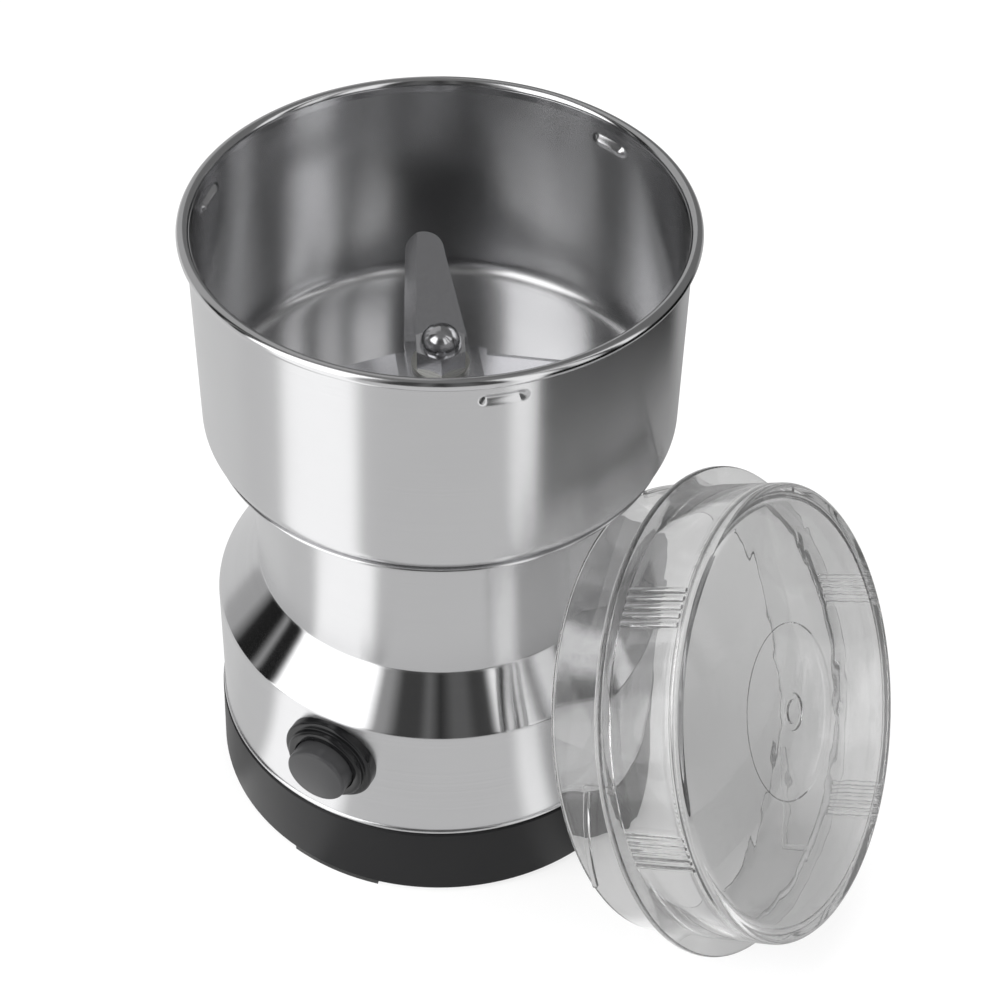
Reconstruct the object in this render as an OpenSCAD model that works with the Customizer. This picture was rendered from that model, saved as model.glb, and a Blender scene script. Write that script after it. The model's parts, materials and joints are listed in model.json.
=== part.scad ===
// Electric spice grinder: a steel bowl with a four-winged blade on a steel and plastic
// motor housing, with a push button and a clear lid. Millimetres, +Z up. The origin is on
// the spindle's axis, level with the underside of the feet. The button faces -Y. The lid
// is off: it stands on its skirt at +X and leans on the housing's neck.

/* [Housing] */
// How far the base stands out from the shell that it carries
base_step = 0.6; // [0.4:0.1:2]
// How much wider the base is at its bottom edge than at its top
base_flare = 0.6; // [0:0.1:2]
// Height of the black base's visible wall
base_h = 17.8; // [15:0.1:22]
// Wall and floor of the base
base_t = 2.4; // [2:0.1:3]
// Outer radius of the shell's band at its hem
band_bottom_r = 49.0; // [48.6:0.1:50]
// How much narrower the band is under the shoulder than at its hem
band_taper = 0.5; // [0:0.1:1]
// Height of the band
band_h = 29.8; // [28:0.1:34]
// Height of the sloping shoulder
shoulder_h = 10.2; // [8:0.1:13]
// Outer radius of the neck
neck_r = 39.3; // [39:0.1:41]
// Height of the neck, from the shoulder to the bowl
neck_h = 36.6; // [35:0.1:42]
// Outer radius of the lip that the neck turns out under the bowl
lip_r = 46.4; // [44.5:0.1:47.5]
// Thickness of the shell's steel sheet
shell_t = 0.8; // [0.6:0.05:1]
// Diameter of the rolled hem round the shell's bottom edge
hem_d = 1.3; // [1.1:0.1:1.6]
// How far the hem stands out of the band
hem_out = 0.4; // [0.3:0.05:0.45]

/* [Bowl] */
// Outer radius of the bowl's straight wall
bowl_r = 48.3; // [48:0.1:49.5]
// Height of the bowl, with its rolled rim
bowl_h = 48.7; // [44:0.1:60]
// Thickness of the bowl's steel
bowl_t = 0.8; // [0.6:0.05:1]
// Radius of the corner between the bowl's wall and its floor
bowl_corner_r = 4.4; // [3:0.1:7]
// Diameter of the bead rolled round the rim
bead_d = 2.4; // [2.2:0.1:3]
// Radius of the hole in the bowl's floor
bowl_hole_r = 8.2; // [8:0.1:9]
// Width of a pressed locking dimple, up and down
dimple_w = 2.6; // [2:0.1:3]
// Length of a dimple round the wall
dimple_l = 9; // [7:0.5:11]
// How far a dimple stands into the bowl
dimple_depth = 0.9; // [0.6:0.1:1]
// Distance from the rim's top to a dimple's middle
dimple_drop = 5.8; // [5:0.1:8]

/* [Lid] */
// Outer radius of the lid's drum
drum_r = 46.8; // [45:0.1:47.5]
// Height of the drum, from the flange's underside to the top
drum_h = 15.9; // [12:0.1:22]
// Outer radius of the flange that sits on the rim
flange_r = 50.6; // [50.2:0.1:52]
// Thickness of the flange
flange_t = 1.4; // [1.2:0.1:2]
// Length of the skirt that goes into the bowl
skirt_h = 12.6; // [11:0.1:14]
// Wall of the drum and skirt
lid_t = 1.8; // [1.4:0.1:2.2]
// Thickness of the lid's top
lid_top_t = 2.0; // [1.6:0.1:2.6]
// Radius of the drum's outer top edge
drum_edge_r = 1.2; // [0.8:0.1:2]
// Radius of the fillet under the top, inside
drum_fillet_r = 2.2; // [1.4:0.1:3]
// Gap between the locking ramps and the bowl's wall
lid_gap = 0.4; // [0.3:0.05:0.6]
// Number of grip ribs in a group
rib_count = 5; // [3:1:7]
// Distance between grip ribs
rib_pitch = 1.8; // [1.5:0.1:2.2]
// Diameter of a grip rib
rib_d = 1.3; // [1:0.1:1.5]
// Half the angle between the two rib groups of a side
rib_spread = 30; // [25:1:35]
// Width of a locking ramp
ramp_w = 1.2; // [0.9:0.1:1.5]
// Angle that a locking ramp covers
ramp_angle = 30; // [24:1:40]
// How far the ramp's high end is from the flange
ramp_drop = 5.2; // [4.5:0.1:6.5]
// Angle of the drum's axis above the floor, where the lid leans
lean_angle = 25.3; // [18:0.1:32]
// How far the leaning lid's middle lies in front of the X axis
lean_side = 6.7; // [0:0.1:12]

/* [Button] */
// Height of the button's axis above the floor
button_z = 37.5; // [34:0.1:38]
// Radius of the bezel's flange
bezel_r = 10.2; // [10:0.1:11]
// Radius of the raised collar round the cap
collar_r = 8.7; // [8.4:0.1:9.4]
// Radius of the barrel that passes through the shell
barrel_r = 9.0; // [8.6:0.1:9.4]
// Radius of the push cap
cap_r = 6.7; // [6:0.1:7]
// How far the cap stands out of the collar at rest
cap_out = 3.5; // [3.2:0.1:5]
// Travel of the cap
cap_travel = 3.0; // [2:0.1:3]
// Thickness of the spring's wire
button_wire_d = 0.7; // [0.5:0.1:0.9]
// Turns of the button's spring
button_turns = 5; // [4:1:7]

/* [Motor] */
// Radius of the motor's shaft
shaft_r = 3.0; // [2.5:0.1:3.5]
// Running clearance of the shaft in its bearings
bearing_gap = 0.05; // [0.02:0.01:0.1]
// Outer radius of the bearings
bearing_r = 6.0; // [5.5:0.1:6.5]
// Length of the bearings
bearing_h = 8; // [6:0.5:8.5]
// Outer radius of the stator
stator_r = 29.5; // [28.5:0.1:30]
// Width of the stator across its flats
stator_w = 50; // [48:0.5:52]
// Height of the stator's stack
stator_h = 22; // [18:0.5:24]
// Radius of the stator's bore
stator_bore_r = 16; // [15.5:0.1:16.5]
// Air gap between the rotor and the stator
air_gap = 0.5; // [0.3:0.1:0.8]
// Slots in the rotor
rotor_slots = 12; // [9:1:14]
// Radius of the commutator
commutator_r = 10.5; // [9.5:0.1:11]
// Height of the commutator
commutator_h = 12; // [10:0.5:13]
// Bars in the commutator
commutator_bars = 24; // [18:2:28]
// Radius of the cooling fan
fan_r = 26; // [22:0.5:27]
// Blades of the cooling fan
fan_blades = 12; // [8:1:16]
// Angle of the motor's long side
motor_turn = 45; // [40:1:50]

/* [Blade] */
// Length of each crossed blade, tip to tip
blade_l = 64; // [50:1:76]
// Width of a blade at its middle
blade_w = 13; // [11:0.5:15]
// Thickness of a blade
blade_t = 1.5; // [1:0.1:2]
// Angle that the upper blade's wings bend up
upper_bend = 24; // [10:1:35]
// Angle that the lower blade's wings bend down
lower_bend = 7; // [0:1:8]
// Height of the lower blade above the bowl's floor
blade_lift = 8.3; // [7.5:0.1:12]

/* [Feet and inlet] */
// How far the feet stand below the base
foot_h = 1.0; // [0.8:0.1:2]
// Width of a foot, across
foot_w = 7; // [5:0.5:9]
// Angle that a foot covers
foot_angle = 24; // [18:1:30]
// Radius of the cord inlet's bore
inlet_bore_r = 3.4; // [3.2:0.1:3.8]
// Outer radius of the inlet's flange
inlet_flange_r = 6.2; // [6:0.1:7]

/* [Hidden] */
$fn = 96;

// Small clearances
seat_gap = 0.05;    // between fixed pieces with curved faces that meet
slide_gap = 0.15;   // round the push cap
running_gap = 0.3;  // between a turning piece and a fixed one
cut = 1;            // how far a cutting tool runs past what it cuts

// Levels, from the floor up
base_z = foot_h;
band_z = base_z + base_h;
shoulder_z = band_z + band_h;
neck_z = shoulder_z + shoulder_h;
bowl_z = neck_z + neck_h;
floor_z = bowl_z + bowl_t;
rim_z = bowl_z + bowl_h;
base_floor_z = base_z + base_t;

// Shell and base
band_top_r = band_bottom_r - band_taper;
base_top_r = band_bottom_r + base_step;
base_bottom_r = base_top_r + base_flare;
shell_bend_r = 1.0;
spigot_h = 3;
spigot_t = 1.6;
spigot_r = band_bottom_r - shell_t - 0.2;
groove = 0.35;
hem_mid_r = band_bottom_r - hem_d / 2 + hem_out;
neck_in_r = neck_r - shell_t;

// Bowl
bowl_in_r = bowl_r - bowl_t;
bead_step = 0.1;
bead_mid_r = bowl_in_r + bead_step + bead_d / 2;
dimple_turn = -48.6;
dimple_z = rim_z - dimple_drop;
stud_r = 2;
stud_ring_r = 22;
stud_turn = 15;
stud_count = 3;
stud_nut_h = 3.2;
stud_end = 1.4;         // how far the studs run past their nuts

// Motor frame, from the bowl down
gasket_t = 1;
gasket_w = 8;
plate_t = 3;
plate_top_z = bowl_z - gasket_t;
plate_z = plate_top_z - plate_t;
frame_r = neck_in_r - 0.3;
pillar_r = 3.5;
pillar_ring_r = frame_r - pillar_r - 0.4;
pillar_count = 3;
pillar_turn = 60;
boss_h = 20.5;
boss_r = 4;
boss_z = base_floor_z + boss_h;
base_screw_r = 1.4;
base_head_r = 2.9;
head_depth = 12;
screw_reach = 9;
frame_hub_r = bearing_r + 3;
frame_spigot_r = bowl_hole_r - 0.4;
frame_spigot_z = floor_z + 1.0;

// Motor, from the frame's plate down
frame_leg_h = 15.4;
stator_top_z = plate_z - frame_leg_h;
stator_z = stator_top_z - stator_h;
coil_h = 5.5;
riser_gap = 10;         // between the commutator's bars and the stator
bracket_gap = 2;        // between the commutator and the lower bracket
commutator_z = stator_z - riser_gap - commutator_h;
bracket_z = commutator_z - bracket_gap;
bracket_t = 3;
hub_lip = 1.5;          // the bearings' hubs run this far past them
lower_bearing_z = bracket_z - bearing_h;
upper_bearing_z = plate_top_z - bearing_h;
brush_z = commutator_z + commutator_h / 2;
bolt_r = 1.75;
bolt_reach = 9;
bolt_ring_r = 26;
leg_r = 3.4;
rotor_r = stator_bore_r - air_gap;
fan_h = 7;
fan_z = lower_bearing_z - hub_lip - 1 - fan_h;
shaft_bottom_z = fan_z - 1.5;
brush_w = 6;            // brass tube round the carbon
brush_h = 6.4;
carbon_w = 5;
hub_tube_r = 5.2;       // insulating tube between the commutator and the core
slot_depth = 3.6;       // from the rotor's face to the middle of its slots
slot_mid_r = rotor_r - slot_depth;
rotor_z = stator_z + 0.5;
rotor_h = stator_h - 1;

// Blades, from the bowl's floor up
seal_h = 5;
seal_r = 12;
seal_top_z = floor_z + seal_h;
lower_blade_z = floor_z + blade_lift;
upper_blade_z = lower_blade_z + blade_t;
washer_t = 1;
washer_z = upper_blade_z + blade_t;
nut_z = washer_z + washer_t;
nut_h = 4.5;
nut_r = 5.6;
dome_r = 4.3;
thread_r = shaft_r - 0.5;
shaft_top_z = nut_z + nut_h;
blade_root = 8.5;
edge_w = 2.6;           // width of the ground edge
edge_land = 0.2;        // thickness left along it
tip_share = 0.62;       // a wing's width at the tip, as a share of its width at the root

// Button: distances from the spindle's axis
shell_r_at_button = band_bottom_r - band_taper * (button_z - band_z) / band_h;
bezel_face = shell_r_at_button + 1.5;
collar_face = bezel_face + 1.6;
cap_face = collar_face + cap_out;
lip_back = shell_r_at_button + 0.2;
cap_flange_t = 1.0;
cap_back = lip_back - 0.2 - cap_flange_t;
cap_flange_r = cap_r + 0.9;
cap_dome = 0.4;
button_nut_r = 11.4;
button_nut_t = 3;
nut_face = sqrt(pow(shell_r_at_button - shell_t - 0.3, 2) - pow(button_nut_r, 2)) - 0.2;
stem_gap = 0.2;
spring_h = 5.8;
switch_front = cap_back - cap_travel - spring_h;
switch_lid_t = 1;
switch_wall = 2.2;
switch_r = barrel_r;
stem_r = 2;
stem_end = switch_front - switch_lid_t - stem_gap;
spring_r = 4.6;
contact_t = 0.6;
terminal_w = 3.2;
terminal_t = 0.8;
terminal_x = 3.6;
terminal_foot_t = 0.5;
foot_top = stem_end - contact_t - cap_travel - stem_gap;
switch_back = foot_top - terminal_foot_t - seat_gap - switch_wall;

// Inlet
inlet_z = base_z + base_h / 2;
inlet_turn = 90;
inlet_neck_r = inlet_bore_r + 1.4;

// Lid, upright, with its flange's underside at zero
skirt_r = bowl_in_r - dimple_depth - 0.2;
ramp_r = bowl_in_r - lid_gap;
ramp_turn = 7.5;
ramp_count = 3;
rib_turn = 53.7;
rib_sink = 0.12;
lid_edge_r = 0.45;
gate_r = 3.9;
gate_w = 1.4;
gate_depth = 0.4;
ring_r = 18.3;
ring_step = 0.3;

// The leaning lid: its skirt's edge stands on the floor, and near the top it meets the neck.
// lean_x is where the top of that edge has to be, so that no point of it is nearer than the gap.
lean_gap = 0.3;
rise = cos(lean_angle);
run = sin(lean_angle);
lean_x = max([for (a = [-20:0.5:20])
    sqrt(pow(neck_r + lean_gap, 2) - pow(skirt_r * sin(a) - lean_side, 2)) - skirt_r * run * (1 - cos(a))]);
lid_x = lean_x + skirt_h * rise + skirt_r * run;
lid_z = (skirt_r - lid_edge_r) * rise + (skirt_h - lid_edge_r) * run + lid_edge_r;

// ---------------------------------------------------------------- shared shapes

// Points of an arc round [x, y] from angle a to angle b
function arc(x, y, r, a, b, n = 6) = [
    for (i = [0:n]) let (t = a + (b - a) * i / n) [x + r * cos(t), y + r * sin(t)]
];

function unit(v) = v / norm(v);

// Points of the fillet of radius r that rounds corner q between p and s
function fillet(p, q, s, r, n = 5) =
    let (
        u = unit(p - q),
        w = unit(s - q),
        half = acos(u * w) / 2,
        middle = q + unit(u + w) * r / sin(half),
        from = q + u * r / tan(half) - middle,
        to = q + w * r / tan(half) - middle,
        a = atan2(from[1], from[0]),
        turn = atan2(from[0] * to[1] - from[1] * to[0], from * to)
    )
    arc(middle[0], middle[1], r, a, a + turn, n);

// A path through [x, y, radius] corners, with each corner rounded by its radius
function rounded_path(c, n = 5) = [
    for (i = [0:len(c) - 1])
        let (q = [c[i][0], c[i][1]])
        each (i == 0 || i == len(c) - 1 || c[i][2] == 0) ? [q]
            : fillet([c[i - 1][0], c[i - 1][1]], q, [c[i + 1][0], c[i + 1][1]], c[i][2], n)
];

// The same path moved sideways by d, to its left where d is positive
function beside(p, d) = [
    for (i = [0:len(p) - 1])
        let (
            a = unit(p[min(i + 1, len(p) - 1)] - p[min(i, len(p) - 2)]),
            b = unit(p[max(i, 1)] - p[max(i - 1, 0)]),
            m = unit([-a[1] - b[1], a[0] + b[0]])
        )
        p[i] + m * d / (m * [-a[1], a[0]])
];

// The outline of a sheet of thickness t that follows a path
function sheet(p, t) = concat(beside(p, t / 2), [for (q = [len(p) - 1:-1:0]) beside(p, -t / 2)[q]]);

module ring(r_out, r_in, h) {
    difference() {
        cylinder(r = r_out, h = h);
        translate([0, 0, -cut]) cylinder(r = r_in, h = h + 2 * cut);
    }
}

// Part of a ring, from angle a to angle b, less than half a turn
module ring_part(r_out, r_in, h, a, b) {
    reach = 2 * r_out;
    linear_extrude(h) intersection() {
        difference() {
            circle(r_out);
            circle(r_in);
        }
        polygon([[0, 0], reach * [cos(a), sin(a)], reach * [cos((a + b) / 2), sin((a + b) / 2)],
            reach * [cos(b), sin(b)]]);
    }
}

// Copies on a circle
module around(count, r, turn = 0) {
    for (i = [0:count - 1]) rotate(turn + i * 360 / count) translate([r, 0, 0]) children();
}

// From the button's own axis, +Z outwards, to the housing's front
module at_button() {
    translate([0, 0, button_z]) rotate([90, 0, 0]) children();
}

// A solid cone that fills the shell's band, grown by gap
module band_fill(gap = 0) {
    translate([0, 0, band_z])
        cylinder(r1 = band_bottom_r + gap, r2 = band_top_r + gap, h = band_h);
}

// ---------------------------------------------------------------- base

module foot_pads() {
    foot_out_r = base_bottom_r - 0.3;
    color([0.12, 0.12, 0.12])
    for (i = [0:3]) rotate(i * 90 - 90)
        ring_part(foot_out_r, foot_out_r - foot_w, foot_h, -foot_angle / 2, foot_angle / 2);
}

module vent_slot(length, width) {
    translate([-length / 2, -width / 2, 0]) cube([length, width, base_t + 2 * cut]);
    for (side = [-1, 1]) translate([side * length / 2, 0, 0]) cylinder(d = width, h = base_t + 2 * cut);
}

module base_cover() {
    edge = 0.7;
    rib_t = 1.6;
    slot_w = 2.6;
    inner_slots = [12, 14, 9];      // count, radius and length of the inner ring of vents
    outer_slots = [12, 24, 4];
    color([0.16, 0.16, 0.16])
    difference() {
        union() {
            rotate_extrude() polygon(concat(
                [[0, base_z]],
                arc(base_bottom_r - edge, base_z + edge, edge, -90, 0),
                [[base_top_r, band_z - groove], [base_top_r - groove, band_z], [spigot_r, band_z]],
                [[spigot_r, band_z + spigot_h - 0.5], [spigot_r - 0.5, band_z + spigot_h]],
                [[spigot_r - spigot_t, band_z + spigot_h], [spigot_r - spigot_t, base_floor_z]],
                [[0, base_floor_z]]
            ));
            around(pillar_count, pillar_ring_r, pillar_turn)
                translate([0, 0, base_floor_z - cut]) cylinder(r = boss_r, h = boss_h + cut);
            around(pillar_count, 0, pillar_turn) translate([pillar_ring_r, -rib_t / 2, base_floor_z - cut])
                cube([spigot_r - spigot_t / 2 - pillar_ring_r, rib_t, boss_h / 2 + cut]);
        }
        around(pillar_count, pillar_ring_r, pillar_turn) {
            translate([0, 0, base_z - cut]) cylinder(r = base_screw_r + 0.3, h = boss_h + base_t + 3 * cut);
            translate([0, 0, base_z - cut]) cylinder(r = base_head_r + 0.4, h = head_depth + cut);
        }
        translate([0, 0, base_z - cut]) {
            around(inner_slots[0], inner_slots[1]) vent_slot(inner_slots[2], slot_w);
            around(outer_slots[0], outer_slots[1], 180 / outer_slots[0]) vent_slot(outer_slots[2], slot_w);
        }
        inlet_path() translate([0, 0, spigot_r - spigot_t - 2 * cut])
            cylinder(r = inlet_neck_r + seat_gap, h = base_bottom_r);
    }
}

module base_screws() {
    head_h = 2.2;
    head_z = base_z + head_depth;
    cross_l = 3.2;
    cross_w = 0.7;
    cross_depth = 1.2;
    color("silver")
    around(pillar_count, pillar_ring_r, pillar_turn) translate([0, 0, head_z]) difference() {
        union() {
            translate([0, 0, -head_h]) cylinder(r = base_head_r, h = head_h);
            cylinder(r = base_screw_r, h = boss_z - head_z + screw_reach);
        }
        for (turn = [0, 90]) rotate(turn)
            translate([-cross_l / 2, -cross_w / 2, -head_h - cut])
                cube([cross_l, cross_w, cross_depth + cut]);
    }
}

// From the inlet's own axis, +Z outwards, to the back of the base
module inlet_path() {
    rotate(inlet_turn) translate([0, 0, inlet_z]) rotate([0, 90, 0]) children();
}

module cord_inlet() {
    wall_in = spigot_r - spigot_t;
    wall_out = base_top_r + (base_bottom_r - base_top_r) * (band_z - inlet_z) / base_h;
    inner = 3;
    rim_t = 1.6;
    edge = 0.7;
    color([0.10, 0.10, 0.10])
    difference() {
        union() {
            inlet_path() translate([0, 0, wall_in - inner])
                cylinder(r = inlet_neck_r, h = wall_out + rim_t / 2 - wall_in + inner);
            inlet_path() translate([0, 0, wall_in - inner]) cylinder(r = inlet_flange_r - 0.6, h = rim_t);
            difference() {
                inlet_path() rotate_extrude() polygon(concat(
                    [[0, wall_out - rim_t], [inlet_flange_r, wall_out - rim_t]],
                    arc(inlet_flange_r - edge, wall_out + rim_t - edge, edge, 0, 90),
                    [[0, wall_out + rim_t]]
                ));
                translate([0, 0, base_z]) cylinder(r1 = base_bottom_r + seat_gap, r2 = base_top_r + seat_gap,
                    h = base_h);
            }
        }
        inlet_path() cylinder(r = inlet_bore_r, h = wall_out + 2 * rim_t);
    }
}

// ---------------------------------------------------------------- steel shell

module body_shell() {
    half = shell_t / 2;
    path = rounded_path([
        [band_bottom_r - half, band_z + hem_d / 2, 0],
        [band_top_r - half, shoulder_z, shell_bend_r],
        [neck_r - half, neck_z, shell_bend_r],
        [neck_r - half, bowl_z - half, shell_bend_r + 0.4],
        [lip_r, bowl_z - half, 0],
    ]);
    color([0.78, 0.78, 0.80])
    difference() {
        union() {
            rotate_extrude() polygon(sheet(path, shell_t));
            translate([0, 0, band_z + hem_d / 2]) rotate_extrude()
                translate([hem_mid_r, 0]) circle(d = hem_d, $fn = 24);
        }
        at_button() cylinder(r = barrel_r + seat_gap, h = max(band_bottom_r, band_top_r) + cut);
    }
}

// ---------------------------------------------------------------- push button

module button_bezel() {
    edge = 0.6;
    color([0.13, 0.13, 0.14])
    difference() {
        union() {
            difference() {
                at_button() rotate_extrude() polygon(concat(
                    [[0, 0], [0, collar_face], [cap_r, collar_face]],
                    arc(collar_r - edge, collar_face - edge, edge, 90, 0),
                    arc(bezel_r - edge, bezel_face - edge, edge, 90, 0),
                    [[bezel_r, 0]]
                ));
                band_fill(seat_gap);
            }
            at_button() translate([0, 0, switch_front])
                cylinder(r = barrel_r, h = bezel_face - switch_front);
        }
        at_button() {
            cylinder(r = cap_r + slide_gap, h = cap_face);
            cylinder(r = cap_flange_r + slide_gap, h = lip_back);
        }
    }
}

module button_nut() {
    color([0.85, 0.84, 0.80])
    at_button() translate([0, 0, nut_face - button_nut_t]) difference() {
        cylinder(r = button_nut_r, h = button_nut_t, $fn = 8);
        translate([0, 0, -cut]) cylinder(r = barrel_r + seat_gap, h = button_nut_t + 2 * cut);
    }
}

module switch_body() {
    cavity_r = 6;
    floor_at = switch_back + switch_wall;
    color([0.30, 0.20, 0.14])
    at_button() difference() {
        translate([0, 0, switch_back]) cylinder(r = switch_r, h = switch_front - switch_back);
        translate([0, 0, floor_at]) cylinder(r = cavity_r, h = switch_front - switch_lid_t - floor_at);
        translate([0, 0, floor_at]) cylinder(r = stem_r + 0.3, h = switch_front);
        for (side = [-1, 1]) translate([side * terminal_x, 0, 0])
            translate([-terminal_t / 2 - seat_gap, -terminal_w / 2 - seat_gap, switch_back - cut])
                cube([terminal_t + 2 * seat_gap, terminal_w + 2 * seat_gap, switch_wall + 2 * cut]);
    }
}

module switch_terminals() {
    foot = 2.4;
    reach = 6;
    hole_r = 0.8;
    color("goldenrod")
    at_button() for (side = [-1, 1]) translate([side * terminal_x, 0, 0]) {
        difference() {
            translate([-terminal_t / 2, -terminal_w / 2, switch_back - reach])
                cube([terminal_t, terminal_w, foot_top - switch_back + reach]);
            translate([-cut, 0, switch_back - reach + foot]) rotate([0, 90, 0])
                cylinder(r = hole_r, h = 2 * cut);
        }
        translate([side * (foot - terminal_t) / 2 - foot / 2, -terminal_w / 2, foot_top - terminal_foot_t])
            cube([foot, terminal_w, terminal_foot_t]);
    }
}

module button_cap() {
    edge = 0.7;
    color([0.20, 0.20, 0.21])
    at_button() {
        rotate_extrude() polygon(concat(
            [[0, cap_face + cap_dome]],
            [for (t = [0.25, 0.5, 0.75]) [(cap_r - edge) * t, cap_face + cap_dome * (1 - t * t)]],
            arc(cap_r - edge, cap_face - edge, edge, 90, 0),
            [[cap_r, cap_back + cap_flange_t], [cap_flange_r, cap_back + cap_flange_t],
                [cap_flange_r, cap_back], [0, cap_back]]
        ));
        translate([0, 0, stem_end]) cylinder(r = stem_r, h = cap_back - stem_end + cut / 2);
    }
}

module button_contact() {
    span = terminal_x + 1.4;
    width = 4;
    color("goldenrod")
    at_button() translate([0, 0, stem_end - contact_t]) intersection() {
        cylinder(r = span, h = contact_t);
        translate([-span, -width / 2, 0]) cube([2 * span, width, contact_t]);
    }
}

// A round wire that winds up Z, with flat ends
module coil_wire(r, wire, z0, z1, turns, steps = 14, sides = 6) {
    n = turns * steps;
    points = [
        for (i = [0:n]) let (a = 360 * i / steps, z = z0 + (z1 - z0) * i / n)
            for (k = [0:sides - 1]) let (b = 360 * k / sides, d = r + wire / 2 * cos(b))
                [d * cos(a), d * sin(a), z + wire / 2 * sin(b)]
    ];
    faces = concat(
        [[for (k = [sides - 1:-1:0]) k]],
        [[for (k = [0:sides - 1]) n * sides + k]],
        [for (i = [0:n - 1]) for (k = [0:sides - 1]) let (m = (k + 1) % sides)
            each [[i * sides + k, (i + 1) * sides + m, (i + 1) * sides + k],
                [i * sides + k, i * sides + m, (i + 1) * sides + m]]]
    );
    polyhedron(points, faces);
}

module button_spring() {
    rest = 0.1;
    color("silver")
    at_button() coil_wire(spring_r, button_wire_d, switch_front + button_wire_d / 2 + rest,
        cap_back - button_wire_d / 2 - rest, button_turns);
}

// ---------------------------------------------------------------- motor, fixed pieces

module on_motor() {
    rotate(motor_turn) children();
}

module motor_frame() {
    rim_t = 2;
    rim_h = 5;
    rib_t = 1.8;
    color([0.86, 0.85, 0.80])
    difference() {
        union() {
            translate([0, 0, plate_z]) cylinder(r = frame_r, h = plate_t);
            translate([0, 0, plate_z - rim_h]) ring(frame_r, frame_r - rim_t, rim_h + cut);
            translate([0, 0, upper_bearing_z - hub_lip])
                cylinder(r = frame_hub_r, h = plate_z - upper_bearing_z + hub_lip + cut);
            translate([0, 0, plate_top_z - cut])
                cylinder(r = frame_spigot_r, h = frame_spigot_z - plate_top_z + cut);
            around(pillar_count, pillar_ring_r, pillar_turn)
                translate([0, 0, boss_z]) cylinder(r = pillar_r, h = plate_z - boss_z + cut);
            on_motor() around(2, bolt_ring_r)
                translate([0, 0, stator_top_z]) cylinder(r = leg_r, h = frame_leg_h + cut);
            around(stud_count, 0, stud_turn + 180 / stud_count)
                translate([frame_hub_r - 1, -rib_t / 2, plate_z - rim_h])
                    cube([frame_r - frame_hub_r, rib_t, rim_h + cut]);
        }
        translate([0, 0, plate_z]) cylinder(r = shaft_r + 1, h = frame_spigot_z - plate_z + cut);
        translate([0, 0, upper_bearing_z - hub_lip - cut])
            cylinder(r = bearing_r, h = bearing_h + hub_lip + cut);
        around(stud_count, stud_ring_r, stud_turn)
            translate([0, 0, plate_z - cut]) cylinder(r = stud_r + 0.2, h = plate_t + 2 * cut);
        around(pillar_count, pillar_ring_r, pillar_turn)
            translate([0, 0, boss_z - cut]) cylinder(r = base_screw_r + seat_gap, h = screw_reach + 3 * cut);
        on_motor() around(2, bolt_ring_r)
            translate([0, 0, stator_top_z - cut]) cylinder(r = bolt_r + seat_gap, h = bolt_reach + 2 * cut);
    }
}

module bearing(z) {
    color([0.72, 0.53, 0.30])
    translate([0, 0, z]) ring(bearing_r, shaft_r + bearing_gap, bearing_h);
}

module upper_bearing() {
    bearing(upper_bearing_z);
}

module lower_bearing() {
    bearing(lower_bearing_z);
}

module stator_core() {
    window_depth = 6;
    window_r = stator_bore_r + window_depth;
    window_angle = 52;
    color([0.42, 0.43, 0.46])
    on_motor() translate([0, 0, stator_z]) difference() {
        intersection() {
            cylinder(r = stator_r, h = stator_h);
            translate([-stator_r, -stator_w / 2, 0]) cube([2 * stator_r, stator_w, stator_h]);
        }
        translate([0, 0, -cut]) {
            cylinder(r = stator_bore_r, h = stator_h + 2 * cut);
            for (side = [90, 270])
                ring_part(window_r, stator_bore_r - cut, stator_h + 2 * cut,
                    side - window_angle, side + window_angle);
            around(2, bolt_ring_r) cylinder(r = bolt_r + seat_gap, h = stator_h + 2 * cut);
        }
    }
}

// One coil round each pole: two limbs in the windows and an arc over each end
module field_coils() {
    r_in = stator_bore_r + 0.8;
    r_out = stator_bore_r + 5.6;
    over = 0.3;
    limb_from = 41;
    limb_to = 64;
    color([0.72, 0.36, 0.16])
    on_motor() for (pole = [0, 180]) rotate(pole) {
        for (start = [limb_from, -limb_to]) translate([0, 0, stator_z - coil_h])
            ring_part(r_out, r_in, stator_h + 2 * coil_h, start, start + limb_to - limb_from);
        for (z = [stator_z - coil_h, stator_top_z + over])
            translate([0, 0, z]) ring_part(r_out, r_in, coil_h - over, -limb_from - 4, limb_from + 4);
    }
}

module motor_bolts() {
    head_z = bracket_z - bracket_t;
    head_r = 3.1;
    head_h = 2.4;
    slot_w = 0.8;
    color("silver")
    on_motor() around(2, bolt_ring_r) translate([0, 0, head_z]) difference() {
        union() {
            translate([0, 0, -head_h]) cylinder(r = head_r, h = head_h);
            cylinder(r = bolt_r, h = stator_top_z - head_z + bolt_reach);
        }
        translate([-head_r - cut, -slot_w / 2, -head_h - cut]) cube([2 * head_r + 2 * cut, slot_w, 1 + cut]);
    }
}

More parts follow.
